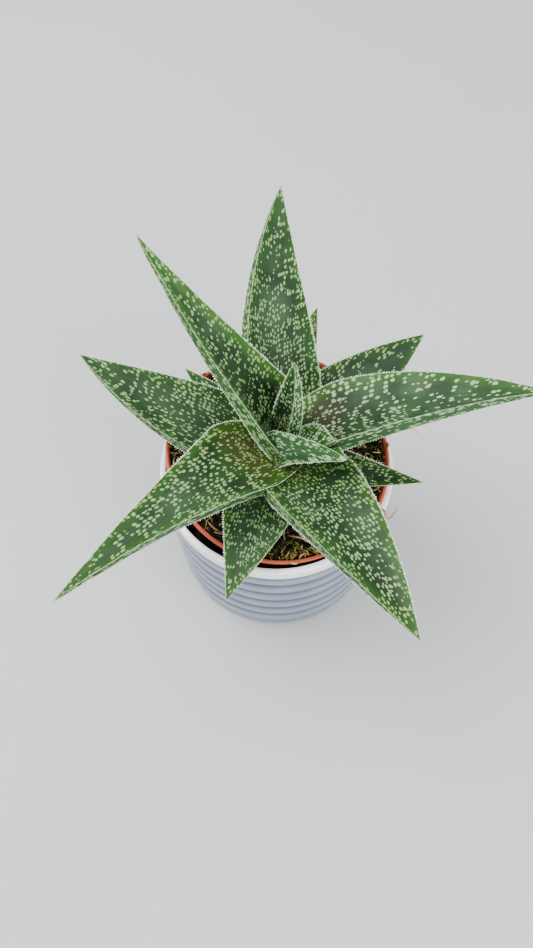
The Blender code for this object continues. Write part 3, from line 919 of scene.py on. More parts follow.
def build_litter(settings):
    tree = scatter_tree()
    crumb = strand_material("peat_crumb", [settings.peat_dark, settings.peat_brown,
                                           srgb(36, 26, 14)], 0.95)
    moss = strand_material("moss", [srgb(28, 36, 8), srgb(70, 82, 18), settings.moss,
                                    srgb(172, 156, 60), srgb(208, 182, 108)], 0.75)
    fibre = strand_material("fibre", [srgb(72, 46, 24), settings.fibre, srgb(236, 218, 172)], 0.7)
    bit = strand_material("straw_bit", [srgb(150, 104, 34), srgb(216, 178, 88),
                                        srgb(244, 226, 158)], 0.7)
    scatter("peat_crumbs", kinds_of("crumb", crumbs(3, 5), 50.0), crumb_cover, crumb, tree, {
        "Density": settings.crumb_density, "Smallest": 0.0007, "Largest": 0.0024, "Lean": 0.5,
        "Lift": 0.0002, "Seed": 3})
    for name, bends, cover, material, inputs in (
            ("moss_strands", (11, 6, 1.0, 0.09), moss_cover, moss, {
                "Density": settings.moss_density, "Smallest": 0.0022, "Largest": 0.0048,
                "Lean": 0.9, "Lift": 0.0011, "Seed": 11}),
            ("peat_fibres", (23, 6, 0.45, 0.028), fibre_cover, fibre, {
                "Density": settings.fibre_density, "Smallest": 0.004, "Largest": 0.011,
                "Lean": 0.35, "Lift": 0.0012, "Seed": 23}),
            ("straw_bits", (31, 5, 0.5, 0.06), straw_cover, bit, {
                "Density": settings.straw_density, "Smallest": 0.002, "Largest": 0.0045,
                "Lean": 0.6, "Lift": 0.0016, "Seed": 31})):
        kinds = kinds_of("strand", strands(*bends), 80.0)
        scatter(name, kinds, cover, material, tree, inputs)


# In the nursery pot's frame: a radius and the points of a smooth line
LOOSE_FIBRES = [
    (0.55, ((5.9, -43.1, 95.4), (11.8, -44.4, 97.6), (18.9, -46.6, 95.6))),
    (0.9, ((11.6, -51.2, 95.8), (14.2, -51.8, 96.6), (17.2, -51.4, 96.0))),
    (0.5, ((-36.0, -37.5, 95.4), (-32.4, -41.5, 97.0), (-28.0, -43.6, 95.6))),
    (0.4, ((-24.5, -43.0, 95.2), (-29.0, -44.5, 97.4), (-33.6, -43.0, 96.2))),
    (0.7, ((6.2, -58.3, 100.9), (8.6, -58.6, 101.2), (10.4, -57.8, 100.9))),
    (0.6, ((-43.6, 40.8, 100.9), (-41.8, 41.6, 101.1), (-40.6, 42.4, 100.9))),
    (0.6, ((57.6, 6.0, 100.9), (58.4, 8.2, 101.2), (57.8, 9.8, 100.9))),
    (0.6, ((52.4, -24.6, 97.4), (55.2, -28.8, 100.9), (55.6, -32.6, 101.6), (58.8, -31.4, 101.2),
           (61.6, -26.8, 102.4))),
    (0.14, ((46.0, 16.0, 94.6), (55.0, 18.4, 101.2), (67.7, 19.8, 101.8), (76.5, 15.2, 101.0),
            (81.2, 9.2, 99.4))),
]


def smooth_line(points, steps=5):
    """Points on a rounded line through the given ones."""
    spots = [Vector(point) for point in points]
    spots = [2 * spots[0] - spots[1], *spots, 2 * spots[-1] - spots[-2]]
    line = []
    for a, b, c, d in zip(spots, spots[1:], spots[2:], spots[3:]):
        for step in range(steps):
            t = step / steps
            line.append((2 * b + (c - a) * t + (2 * a - 5 * b + 4 * c - d) * t ** 2
                         + (3 * b - a - 3 * c + d) * t ** 3) / 2)
    return line + [spots[-2]]


def build_loose_fibres(settings):
    """The few bits of straw and root that stand out from the rest."""
    bm = bmesh.new()
    for radius, points in LOOSE_FIBRES:
        line = [point * MM for point in smooth_line(points)]
        tube(bm, line, tapered(radius * MM, len(line) - 1, 0.7), 6)
    bm.transform(nursery_frame())
    straw = strand_material("straw", [settings.straw, settings.straw], 0.7)
    add_piece(solid("loose_fibres", bm, 70.0, straw), "peat")


# Stem


def stem_bmesh(clearance=0.0):
    """The short stem, ringed by the scars of old leaves, narrowing to the growing point."""
    radius = STEM_RADIUS + clearance
    profile = [(0, STEM_FOOT - clearance), (radius - 1.5, STEM_FOOT - clearance)]
    for height in np.arange(STEM_FOOT + 4, STEM_SHOULDER, 3.0):
        scar = 0.0 if clearance else 0.35
        profile += [(radius - scar, height), (radius, height + 0.8)]
    profile += [(STEM_TOP_RADIUS + clearance, STEM_TOP + clearance),
                (0, STEM_TOP + STEM_TOP_RADIUS / 6 + clearance)]
    return turned(profile, 48)


def stem_material(settings):
    """Pale green flesh, browner towards the foot and between the scars."""
    graph = MaterialGraph("stem_flesh", roughness=0.6, specular_ior_level=0.35)
    place = graph.place()
    aged = graph.ease(graph.split(place)[2], STEM_FOOT + 10, STEM_SHOULDER + 4, 1.0, 0.0)
    mottle = graph.noise(place, 0.35, 4.0)
    fresh = graph.blend(mottle, settings.middle, srgb(150, 168, 96))
    old = graph.blend(mottle, srgb(84, 60, 34), srgb(134, 108, 66))
    return graph.paint(base_color=graph.blend(aged, fresh, old),
                       normal=graph.bump(mottle, 0.2 * MM, 0.7))


def build_stem(settings):
    item = solid("stem_core", stem_bmesh(), material=stem_material(settings))
    add_piece(item, "stem", "stem")


# Leaves


def leaf_width(leaf, share):
    """Full width at a share of the length: a quick swell, then a long taper."""
    swell = min(share / leaf.widest, 1.0)
    grown = leaf.base_share + (1 - leaf.base_share) * swell * (2 - swell)
    past = max((share - leaf.widest) / (1 - leaf.widest), 0.0)
    return leaf.width * grown * (1 - past ** leaf.taper)


def leaf_line(leaf, count):
    """Points and frames (along, left, up) of the leaf's middle line."""
    shares = np.linspace(0.0, 1.0, count + 1)
    frames = []
    for share in shares:
        heading = math.radians(leaf.heading + leaf.turn * (share - 0.5))
        rise = math.radians(leaf.rise[0] + (leaf.rise[1] - leaf.rise[0]) * share)
        roll = math.radians(leaf.roll[0] + (leaf.roll[1] - leaf.roll[0]) * share)
        along = Vector((math.cos(rise) * math.cos(heading),
                        math.cos(rise) * math.sin(heading), math.sin(rise)))
        level = Vector((-math.sin(heading), math.cos(heading), 0.0))
        square = along.cross(level)
        left = math.cos(roll) * level + math.sin(roll) * square
        up = math.cos(roll) * square - math.sin(roll) * level
        frames.append((along, left, up))
    points = [Vector(leaf.base)]
    for here, after in zip(frames, frames[1:]):
        points.append(points[-1] + (here[0] + after[0]) * leaf.length / count / 2)
    return shares, points, frames


def leaf_outline(leaf, share):
    """Points (across, up) round the leaf, far margin first, over the top and back below.

    Across is positive on the keel's side. The corners are the far margin, the
    near margin at UPPER_STEPS and the keel SIDE_STEPS later.
    """
    half = leaf_width(leaf, share) / 2
    depth = leaf.depth * (1 - share) ** KEEL_FADE
    keel = abs(leaf.keel)

    def upper(across):
        return leaf.channel * half * min(abs(across), 1.0) ** 2

    def under(across):
        return upper(across) - depth * max((across + 1) / (1 + keel), 0.0) ** FLESH_CURVE

    side = (1 + keel) / 2
    if keel > ROUND_KEEL:
        side_height = (upper(1) + under(keel)) / 2
    else:
        side_height = upper(side) - SIDE_DEPTH * depth
    points = []
    for step in range(UPPER_STEPS + 1):
        across = -math.cos(math.pi * step / UPPER_STEPS)
        points.append((across * half, upper(across)))
    corners = np.array([(half, upper(1)), (side * half, side_height), (keel * half, under(keel))])
    for step in range(1, SIDE_STEPS + 1):
        t = step / SIDE_STEPS
        weights = ((1 - t) * (1 - 2 * t), 4 * t * (1 - t), t * (2 * t - 1))
        points.append(tuple(np.array(weights) @ corners))
    for step in range(1, BELLY_STEPS):
        share_of_belly = (1 - math.cos(math.pi * step / BELLY_STEPS)) / 2
        across = keel - (1 + keel) * share_of_belly
        points.append((across * half, under(across)))
    return points


def wave(leaf, across, along):
    """A gentle unevenness of the blade, the same on its upper and its under side."""
    spot = Vector((across / WAVE_LENGTH, along / WAVE_LENGTH, leaf.length))
    return WAVE_HEIGHT * noise.noise(spot)


def leaf_rows(leaf):
    """Rows of points round the leaf from base to tip, with its shares, frames and outlines."""
    count = round(leaf.length / RING_STEP)
    shares, points, frames = leaf_line(leaf, count)
    hand = math.copysign(1.0, leaf.keel)
    rows, outlines = [], []
    for ring in range(count):
        along, left, up = frames[ring]
        outline = leaf_outline(leaf, shares[ring])
        half = leaf_width(leaf, shares[ring]) / 2
        reach = leaf.clasp * max(1 - shares[ring] / CLASP_SHARE, 0.0) ** 2
        row = []
        for across, height in outline:
            back = reach * max(across / half, 0.0)
            rippled = height + wave(leaf, across, shares[ring] * leaf.length)
            row.append(points[ring] + left * across * hand + up * rippled - along * back)
        rows.append(row)
        outlines.append(outline)
    heel = points[0] - frames[0][2] * leaf.depth * HEEL_DEPTH
    return rows, outlines, shares, frames, points[-1], heel


def skin_places(outline):
    """Places across the skin and their distances from the nearest edge, in millimetres.

    They run round one outline, for its upper side and for the rest. The distance
    is below zero off the upper side.
    """
    half = max(abs(outline[0][0]), 1e-3)
    upper = [(across, half - abs(across)) for across, _ in outline[:UPPER_STEPS + 1]]
    loop = np.array(outline[UPPER_STEPS:] + outline[:1])
    run = np.concatenate(([0.0], np.cumsum(np.hypot(*np.diff(loop, axis=0).T))))
    keel_run = run[SIDE_STEPS]
    rest = [(UNDERSIDE_SHIFT + place, -min(place, abs(place - keel_run), run[-1] - place) - 0.01)
            for place in run]
    return upper, rest


def leaf_mesh(leaf, order):
    """The leaf as one closed mesh with two maps.

    The skin map is millimetres across and along. The zone map is the distance
    from the nearest edge and the share of the length.
    """
    rows, outlines, shares, _, tip, heel = leaf_rows(leaf)
    count, around = len(rows), len(rows[0])
    points = [point for row in rows for point in row] + [tip, heel]
    places = [skin_places(outline) for outline in outlines]
    shift = order * SKIN_SHIFT

    def vertex(ring, side):
        """A corner's vertex: past the last ring it is the tip, before the first the heel."""
        if 0 <= ring < count:
            return ring * around + side % around
        return count * around + (ring < 0)

    def maps(ring, side, is_upper):
        """A corner's skin and zone values."""
        share = shares[max(ring, 0)]
        upper, rest = places[min(max(ring, 0), count - 1)]
        across, edge = upper[side] if is_upper else rest[side - UPPER_STEPS]
        return (across + shift, share * leaf.length + shift), (edge, share)

    faces, skins, zones = [], [], []
    for ring in (*range(count), -1):
        for side in range(around):
            face = {}
            for at in ((ring, side), (ring + 1, side), (ring + 1, side + 1), (ring, side + 1)):
                face.setdefault(vertex(*at), maps(*at, side < UPPER_STEPS))
            faces.append(tuple(face))
            skins += [skin for skin, _ in face.values()]
            zones += [zone for _, zone in face.values()]
    mesh = bpy.data.meshes.new(leaf.name)
    mesh.from_pydata([point * MM for point in points], [], faces)
    for name, values in (("skin", skins), ("zone", zones)):
        layer = mesh.uv_layers.new(name=name)
        layer.data.foreach_set("uv", np.array(values, dtype=np.float32).ravel())
    if leaf.keel < 0:
        mesh.flip_normals()
    mesh.shade_smooth()
    return mesh


def keep_largest(mesh):
    """Drop loose scraps that a cut leaves."""
    bm = bmesh.new()
    bm.from_mesh(mesh)
    left_over = set(bm.verts)
    bodies = []
    while left_over:
        body = set()
        front = [left_over.pop()]
        while front:
            vert = front.pop()
            body.add(vert)
            for edge in vert.link_edges:
                other = edge.other_vert(vert)
                if other in left_over:
                    left_over.discard(other)
                    front.append(other)
        bodies.append(body)
    bodies.sort(key=len)
    scraps = [vert for body in bodies[:-1] for vert in body]
    bmesh.ops.delete(bm, geom=scraps, context="VERTS")
    bm.to_mesh(mesh)
    bm.free()


def boxes_meet(first, second):
    """Whether two items' boxes overlap."""
    boxes = []
    for item in (first, second):
        corners = np.array([corner[:] for corner in item.bound_box])
        boxes.append((corners.min(0), corners.max(0)))
    (low_a, high_a), (low_b, high_b) = boxes
    return bool((low_a < high_b).all() and (low_b < high_a).all())


class LeafSkin(MaterialGraph):
    """The skin of one leaf: dark bluish middle, brighter edges, cream spots, brown base."""

    def __init__(self, leaf, settings):
        super().__init__(leaf.name + "_skin", ior=1.42, specular_ior_level=0.2,
                         subsurface_weight=0.05, subsurface_scale=0.0012,
                         subsurface_radius=(0.5, 1.0, 0.3))
        self.leaf = leaf
        self.tones = settings
        self.skin = self.add("ShaderNodeUVMap", uv_map="skin").outputs[0]
        zone = self.split(self.add("ShaderNodeUVMap", uv_map="zone").outputs[0])
        self.edge = self.math("ABSOLUTE", zone[0])
        self.below = self.math("LESS_THAN", zone[0], 0.0)
        self.share = zone[1]
        across, along, _ = self.split(self.skin)
        lengthwise = self.join(self.times(across, 0.9), self.times(along, 0.06))
        self.streaks = self.noise(lengthwise, 1.0, 3.0)
        self.clouds = self.noise(self.skin, 0.055, 3.0)
        self.fine = self.noise(self.skin, 1.6, 3.0)
        self.inner = self.ease(self.edge, 3.0, 9.0)
        # Painted shade deep in the rosette, where the inner leaves shade the bases, with some of the
        # bases' darker green.
        self.heart_shade = self.times(self.ease(self.share, 0.22, 0.52, leaf.heart_shade, 0.0), self.inner)

    def green(self):
        """The blade without its spots, as layers of cover and tone, then painted light and shade."""
        leaf, tones, edge, share = self.leaf, self.tones, self.edge, self.share
        # The grey bloom, partly painted sheen where the leaf catches the light.
        bloom_and_sheen = self.times(self.ease(self.noise(self.skin, 0.04), 0.38, 0.66),
                           self.ease(edge, 2.0, 9.0, 0.0, leaf.bloom_and_sheen))
        bloom_and_sheen = self.times(bloom_and_sheen, self.ease(share, 0.1, 0.15 + 0.3 * leaf.rust))
        band = 0.18 * leaf.width
        wavy_edge = self.plus(edge, self.times(self.fine, 0.25 * band))
        rust = self.ease(share, 0.12 * leaf.rust, 0.12 + 0.16 * leaf.rust, 0.85, 0.0)
        rust = self.times(self.times(rust, self.inner), self.ease(self.clouds, 0.3, 0.6, 0.55, 1.0))
        green = self.blend(self.ease(self.clouds, 0.35, 0.65), tones.middle, tones.middle_dark)
        for cover, tone in (
                (bloom_and_sheen, tones.bloom_and_sheen),
                (self.ease(wavy_edge, 0.1 * band, band, leaf.edging, 0.0), tones.edge),
                (self.times(self.below, 0.6), tones.under),
                (self.ease(self.streaks, 0.45, 0.7, 0.0, 0.45), tones.middle_dark),
                (self.ease(self.fine, 0.4, 0.7, 0.0, 0.15), tones.bloom_and_sheen),
                (self.ease(share, 0.02, 0.24, 0.75, 0.0), tones.base),
                (self.times(rust, leaf.rust), tones.rust),
                (self.ease(share, 1 - 8.0 / leaf.length, 1 - 1.5 / leaf.length, 0.0, leaf.dry),
                 tones.tip)):
            green = self.blend(cover, green, tone)
        # Painted light and shade: the whole leaf lighter or darker for how the light falls on it,
        # partly the fresher green of young leaves.
        green = self.blend(1.0, green, (leaf.shade,) * 3, "MULTIPLY")
        # Painted shade deep in the rosette.
        return self.blend(self.heart_shade, green, tones.heart_shade)

    def spots(self):
        """Spots longer than wide, in wavy rows that lean back from the edges."""
        bent = self.add("ShaderNodeTexNoise", {"Vector": self.skin, "Scale": 0.6, "Detail": 2.0})
        push = self.add("ShaderNodeVectorMath", {"Scale": 0.8}, operation="SCALE")
        self.put(push.inputs[0], bent.outputs["Color"])
        moved = self.add("ShaderNodeVectorMath", operation="ADD")
        self.put(moved.inputs[0], self.skin)
        self.put(moved.inputs[1], push.outputs[0])
        x, y, _ = self.split(moved.outputs[0])
        y = self.plus(y, self.times(self.edge, 0.35))
        longer = self.ease(self.below, 0.0, 1.0, 1.0, 0.7)
        # Pale dashes crowd beside the keel and, more thinly, beside the margins on top.
        crowd = self.times(self.ease(self.edge, 1.0, 3.6, 1.0, 0.0),
                           self.ease(self.below, 0.0, 1.0, 0.3, 0.57))
        cells = self.cells(self.join(self.math("DIVIDE", x, 1.15), self.math("DIVIDE", y, 2.6)),
                           1.0, 0.7)
        here = self.math("LESS_THAN", self.split(cells["Color"])[0], crowd)
        spots = self.times(self.ease(cells["Distance"], 0.2, 0.36, 1.0, 0.0), here)
        for wide, tall, reach, rarity in ((1.85, 3.0, 0.33, 0.0), (1.5, 2.4, 0.24, 0.36)):
            place = self.join(self.math("DIVIDE", x, wide),
                              self.times(self.math("DIVIDE", y, tall), longer))
            cells = self.cells(place, 1 / self.leaf.grain, 0.62)
            chance, girth, _ = self.split(cells["Color"])
            across, along, _ = self.split(cells["Position"])
            rows = self.noise(self.join(self.times(across, 0.16), self.times(along, 0.62)),
                              1.0, 1.0)
            wanted = self.plus(self.leaf.spots - rarity, self.ease(rows, 0.3, 0.7, -0.5, 0.5))
            wanted = self.math("SUBTRACT", wanted, self.ease(self.share, 0.1, 1.0, -0.15, 0.15))
            wanted = self.plus(wanted, self.times(self.below, 0.1))
            here = self.math("LESS_THAN", chance, wanted)
            limit = self.ease(girth, 0.0, 1.0, reach * 0.75, reach * 1.15)
            gap = self.math("SUBTRACT", cells["Distance"], limit)
            layer = self.times(self.ease(gap, -0.09, 0.06, 1.0, 0.0), here)
            spots = self.math("MAXIMUM", spots, layer)
        return spots

    def cream(self):
        """The spots' colour: duller near the base, whiter by the keel, and painted light and shade."""
        leaf, tones = self.leaf, self.tones
        old = self.ease(self.share, 0.03, 0.16, 0.75, 0.0)
        whiter = self.ease(self.below, 0.0, 1.0, leaf.pale, max(leaf.pale, 0.35))
        cream = self.blend(whiter, self.blend(old, tones.spot, tones.spot_old), tones.spot_pale)
        # The spots take the leaf's painted light and shade more weakly.
        cream = self.blend(1.0, cream, (math.sqrt(leaf.shade),) * 3, "MULTIPLY")
        # Painted shade deep in the rosette darkens the spots too.
        return self.blend(self.times(self.heart_shade, 0.45), cream, tones.heart_shade)


def leaf_material(leaf, settings):
    """Cream spots on green skin, with gristle showing at the very edge."""
    graph = LeafSkin(leaf, settings)
    spots = graph.spots()
    strength = graph.times(spots, graph.ease(graph.fine, 0.2, 0.7, 0.98, 0.75))
    colour = graph.blend(strength, graph.green(), graph.cream())
    rim = graph.ease(graph.edge, 0.1, 0.35, 0.6, 0.0)
    gloss = graph.ease(graph.clouds, 0.3, 0.7, 0.42, 0.54)
    relief = graph.bump(graph.streaks, 0.15 * MM, 0.6, graph.bump(spots, 0.08 * MM, 0.8))
    return graph.paint(base_color=graph.blend(rim, colour, settings.margin_green),
                       roughness=graph.plus(gloss, graph.times(spots, 0.08)),
                       normal=graph.bump(graph.noise(graph.skin, 3.5), 0.04 * MM, 0.6, relief))


def gristle_material(name, pale, green):
    """Pearly gristle of the leaf's edges, clouded with green."""
    graph = MaterialGraph(name, roughness=0.35, ior=1.45, specular_ior_level=0.5,
                          subsurface_weight=0.2, subsurface_scale=0.0008)
    place = graph.place()
    cloud = graph.ease(graph.noise(place, 0.5), 0.35, 0.65)
    return graph.paint(base_color=graph.blend(cloud, pale, green),
                       normal=graph.bump(graph.noise(place, 2.5), 0.05 * MM, 0.5))


def tooth_object():
    """One small pearly tooth, a unit high, that leans towards the leaf's tip."""
    bm = bmesh.new()
    sides = 7
    rows = []
    for height, girth in ((-0.35, 1.0), (0.3, 0.85), (0.75, 0.5)):
        lean = 0.45 * height ** 2 if height > 0 else 0.0
        rows.append([bm.verts.new((x + lean, 0.8 * y, z))
                     for x, y, z in circle(girth, height, sides)])
    bridge(bm, [*rows, [bm.verts.new((0.5, 0, 1.0))] * sides])
    bm.faces.new(rows[0][::-1])
    return solid("tooth", bm, 120.0)


def margin_tree():
    """A geometry tree that turns edge lines into a bead of gristle set with teeth.

    The lines carry an outward direction and a size at each point.
    """
    graph, given = new_tree("toothed margin", "Margins", {
        "Lines": "Geometry", "Tooth": "Object", "Pitch": "Float", "Height": "Float",
        "Girth": "Float", "Bead": "Float", "Seed": "Int", "Tooth Material": "Material",
        "Bead Material": "Material"})
    size = graph.named("size")
    curve = graph.add("GeometryNodeMeshToCurve", {"Mesh": given["Lines"]})
    thickness = graph.times(size, given["Bead"])
    ringed = graph.add("GeometryNodeSetCurveRadius", {
        "Curve": curve.outputs[0], "Radius": thickness})
    profile = graph.add("GeometryNodeCurvePrimitiveCircle", {"Resolution": 8, "Radius": 1.0})
    bead = graph.add("GeometryNodeCurveToMesh", {
        "Curve": ringed.outputs[0], "Profile Curve": profile.outputs[0], "Scale": thickness,
        "Fill Caps": True})
    spaced = graph.add("GeometryNodeResampleCurve", {
        "Curve": curve.outputs[0], "Length": given["Pitch"]}, mode="LENGTH")
    facing = graph.add("FunctionNodeAxesToRotation", {
        "Primary Axis": graph.named("outward", "FLOAT_VECTOR"),
        "Secondary Axis": graph.add("GeometryNodeInputTangent").outputs[0]},
        primary_axis="Z", secondary_axis="X")
    tooth = graph.add("GeometryNodeObjectInfo", {"Object": given["Tooth"]})
    grown = graph.times(graph.random(given["Seed"], SMALLEST_TOOTH, LARGEST_TOOTH), size)
    girth = graph.times(grown, given["Girth"])
    placed = graph.add("GeometryNodeInstanceOnPoints", {
        "Points": spaced.outputs[0], "Instance": tooth.outputs["Geometry"],
        "Rotation": facing.outputs[0],
        "Scale": graph.join(girth, girth, graph.times(grown, given["Height"]))})
    marked = graph.add("GeometryNodeStoreNamedAttribute", {
        "Geometry": placed.outputs[0], "Name": "tooth", "Value": True},
        data_type="BOOLEAN", domain="INSTANCE")
    joined = graph.add("GeometryNodeJoinGeometry")
    for part in (marked.outputs[0], bead.outputs[0]):
        graph.tree.links.new(part, joined.inputs[0])
    real = graph.add("GeometryNodeRealizeInstances", {"Geometry": joined.outputs[0]})
    beaded = graph.add("GeometryNodeSetMaterial", {
        "Geometry": real.outputs[0], "Material": given["Bead Material"]})
    painted = graph.add("GeometryNodeSetMaterial", {
        "Geometry": beaded.outputs[0], "Selection": graph.named("tooth", "BOOLEAN"),
        "Material": given["Tooth Material"]})
    graph.add("NodeGroupOutput", {"Margins": painted.outputs[0]})
    return graph.tree


def edge_lines(leaf, blade):
    """The leaf's margins and keel as lines, where the cut blade still has them."""
    rows, outlines, shares, frames, tip, _ = leaf_rows(leaf)
    hand = math.copysign(1.0, leaf.keel)
    surface = BVHTree.FromPolygons([v.co / MM for v in blade.data.vertices],
                                   [p.vertices for p in blade.data.polygons])
    around = len(rows[0])
    lines = []
    for place, grade in EDGE_GRADES:
        line = []
        for ring, row in enumerate(rows):
            if surface.find_nearest(row[place])[3] > EDGE_LOST:
                lines.append(line)
                line = []
                continue
            out = np.zeros(2)
            for neighbour in (place - 1, (place + 1) % around):
                pull = np.subtract(outlines[ring][place], outlines[ring][neighbour])
                out += pull / max(np.hypot(*pull), 1e-6)
            _, left, up = frames[ring]
            direction = (left * out[0] * hand + up * out[1]).normalized()
            fade = min(1.0, 0.35 + (1 - shares[ring]) * leaf.length / EDGE_FADE)
            line.append((row[place] * MM, direction, grade * fade))
        if line:
            line.append((tip * MM, line[-1][1], EDGE_END))
        lines.append(line)
    lines = [line for line in lines if len(line) > 1]
    points, outwards, sizes = zip(*(spot for line in lines for spot in line))
    edges, first = [], 0
    for line in lines:
        edges += [(place, place + 1) for place in range(first, first + len(line) - 1)]
        first += len(line)
    mesh = bpy.data.meshes.new(leaf.name + "_lines")
    mesh.from_pydata(points, edges, [])
    outward = mesh.attributes.new("outward", "FLOAT_VECTOR", "POINT")
    outward.data.foreach_set("vector", np.array(outwards).ravel())
    size = mesh.attributes.new("size", "FLOAT", "POINT")
    size.data.foreach_set("value", sizes)
    return mesh


def raised_copy(item, height):
    """A copy of an item, lifted straight up, that clears what lies on top of it."""
    mesh = item.data.copy()
    mesh.transform(Matrix.Translation((0, 0, height * MM)))
    return new_object(item.name + "_raised", mesh)


def build_leaves(settings):
    """Every blade, cut back where an inner leaf stands, and its toothed margins."""
    whole = [new_object(leaf.name + "_whole", leaf_mesh(leaf, order))
             for order, leaf in enumerate(LEAVES)]
    bpy.context.view_layer.update()
    tree = margin_tree()
    tooth = tooth_object()
    pearl = gristle_material("leaf_teeth", settings.margin, settings.margin)
    gristle = gristle_material("leaf_margin", settings.margin, settings.margin_green)
    for order, leaf in enumerate(LEAVES):
        blade = new_object(leaf.name + "_blade", whole[order].data.copy())
        bpy.context.view_layer.update()
        cutters = [item for item in whole[:order] if boxes_meet(item, blade)]
        raised = [raised_copy(item, height) for item in cutters
                  if item.name.removesuffix("_whole") in leaf.under for height in UNDER_STEPS]
        if cutters:
            cut(blade, cutters + raised)
            keep_largest(blade.data)
        remove(raised)
        blade.data.set_sharp_from_angle(angle=math.radians(BLADE_SHARP))
        coat(blade, leaf_material(leaf, settings))
        add_piece(blade, "leaf", leaf.name)
        margins = new_object(leaf.name + "_margins", edge_lines(leaf, blade))
        grow(margins, tree, {
            "Tooth": tooth, "Pitch": settings.tooth_pitch, "Height": settings.tooth_height,
            "Girth": settings.tooth_girth, "Bead": settings.bead, "Seed": order,
            "Tooth Material": pearl, "Bead Material": gristle})
        margins.data.shade_smooth()
        add_piece(margins, "leaf")
    remove([*whole, tooth])


# Stage


def floor_material(settings):
    """A pale, even floor with the faintest grain."""
    graph = MaterialGraph("studio_floor", roughness=0.75, specular_ior_level=0.2)
    darker = tuple(0.96 * value for value in settings.floor)
    cloud = graph.noise(graph.place(), 0.01, 3.0)
    return graph.paint(base_color=graph.blend(cloud, settings.floor, darker))


def add_light(name, place, power):
    """A square softbox aimed at the plant."""
    light = bpy.data.lights.new(name, "AREA")
    light.size = SOFTBOX_SIZE
    light.energy = power
    item = bpy.data.objects.new(name, light)
    item.location = place
    aim = Vector(LIGHT_TARGET) - Vector(place)
    item.rotation_euler = aim.to_track_quat("-Z", "Y").to_euler()
    bpy.context.scene.collection.objects.link(item)


def camera_turn():
    """The camera's turn from its yaw, pitch and roll."""
    yaw, pitch, roll = (math.radians(a) for a in (CAMERA_YAW, CAMERA_PITCH, CAMERA_ROLL))
    ahead = Vector((math.sin(yaw) * math.cos(pitch), math.cos(yaw) * math.cos(pitch),
                    -math.sin(pitch)))
    right = Vector((math.cos(yaw), -math.sin(yaw), 0.0))
    up = right.cross(ahead)
    right, up = (math.cos(roll) * right + math.sin(roll) * up,
                 math.cos(roll) * up - math.sin(roll) * right)
    return Matrix((right, up, -ahead)).transposed().to_4x4()


def build_stage(settings):
    mesh = bpy.data.meshes.new("studio_floor")
    mesh.from_pydata([(x * FLOOR_HALF, y * FLOOR_HALF, 0)
                      for x, y in ((-1, -1), (1, -1), (1, 1), (-1, 1))], [], [(0, 1, 2, 3)])
    new_object("studio_floor", mesh, floor_material(settings))
    world = bpy.data.worlds.new("studio")
    world.use_nodes = True
    graph = Graph(world.node_tree)
    backdrop = world.node_tree.nodes["Background"]
    backdrop.inputs["Color"].default_value = (0.93, 0.96, 1.0, 1.0)
    height = graph.split(graph.add("ShaderNodeTexCoord").outputs["Object"])[2]
    low = HORIZON_SHARE * settings.ambient
    graph.put(backdrop.inputs["Strength"], graph.ease(height, -0.1, 0.9, low, settings.ambient))
    bpy.context.scene.world = world
    add_light("overhead_softbox", (-0.6, 0.2, 1.0), settings.key_power)
    add_light("front_fill", (0.75, -0.75, 0.6), settings.fill_power)
    lens = bpy.data.cameras.new("photo_camera")
    lens.sensor_width = SENSOR
    lens.lens = FOCAL_PIXELS * SENSOR / max(PHOTO_WIDTH, PHOTO_HEIGHT)
    lens.clip_start = 0.01
    camera = bpy.data.objects.new("photo_camera", lens)
    camera.matrix_world = Matrix.Translation(CAMERA_PLACE) @ camera_turn()
    bpy.context.scene.collection.objects.link(camera)
    bpy.context.scene.camera = camera


# Settings, operators and panel


def colour_setting(name, description, value):
    return FloatVectorProperty(name=name, description=description, subtype="COLOR", size=3,
                               min=0.0, max=1.0, default=value)


def length_setting(name, description, value):
    return FloatProperty(name=name, description=description, unit="LENGTH", precision=5,
                         min=0.0, default=value)


def number_setting(name, description, value):
    return FloatProperty(name=name, description=description, min=0.0, default=value)


class CoverPotSettings(bpy.types.PropertyGroup):
    ribs: IntProperty(name="Ribs", description="Convex ribs round the pot", default=6, min=1)
    rib_bulge: length_setting("Rib bulge", "How far each rib stands out", 0.0011)
    glaze: colour_setting("Glaze", "Colour of the rim", srgb(249, 251, 251))
    # The ribs' colour is painted shade of the ribbed sides.
    rib_shade: colour_setting("Rib shade", "Colour over the ribs", srgb(111, 127, 145))
    # The groove colour is painted shade between the ribs; the dark specks use it too.
    groove: colour_setting("Groove", "Colour between the ribs", srgb(58, 67, 80))


class NurseryPotSettings(bpy.types.PropertyGroup):
    plastic: colour_setting("Plastic", "Main colour of the plastic", srgb(176, 74, 46))
    plastic_pale: colour_setting("Paler plastic", "Clouding of the plastic", srgb(184, 86, 58))


class PeatSettings(bpy.types.PropertyGroup):
    peat_dark: colour_setting("Wet peat", "Darkest peat", srgb(5, 4, 2))
    peat_brown: colour_setting("Brown peat", "Browner crumbs", srgb(17, 12, 8))
    moss: colour_setting("Moss", "Middle tone of the moss", srgb(116, 124, 34))
    fibre: colour_setting("Fibre", "Middle tone of the dry fibres", srgb(196, 162, 100))
    straw: colour_setting("Loose straw", "Colour of the loose fibres", srgb(196, 160, 108))
    crumb_density: number_setting("Crumbs", "Crumbs in a square metre", 330000.0)
    moss_density: number_setting("Moss strands", "Strands in a square metre", 380000.0)
    fibre_density: number_setting("Dry fibres", "Fibres in a square metre", 110000.0)
    straw_density: number_setting("Straw", "Bits of straw in a square metre", 190000.0)


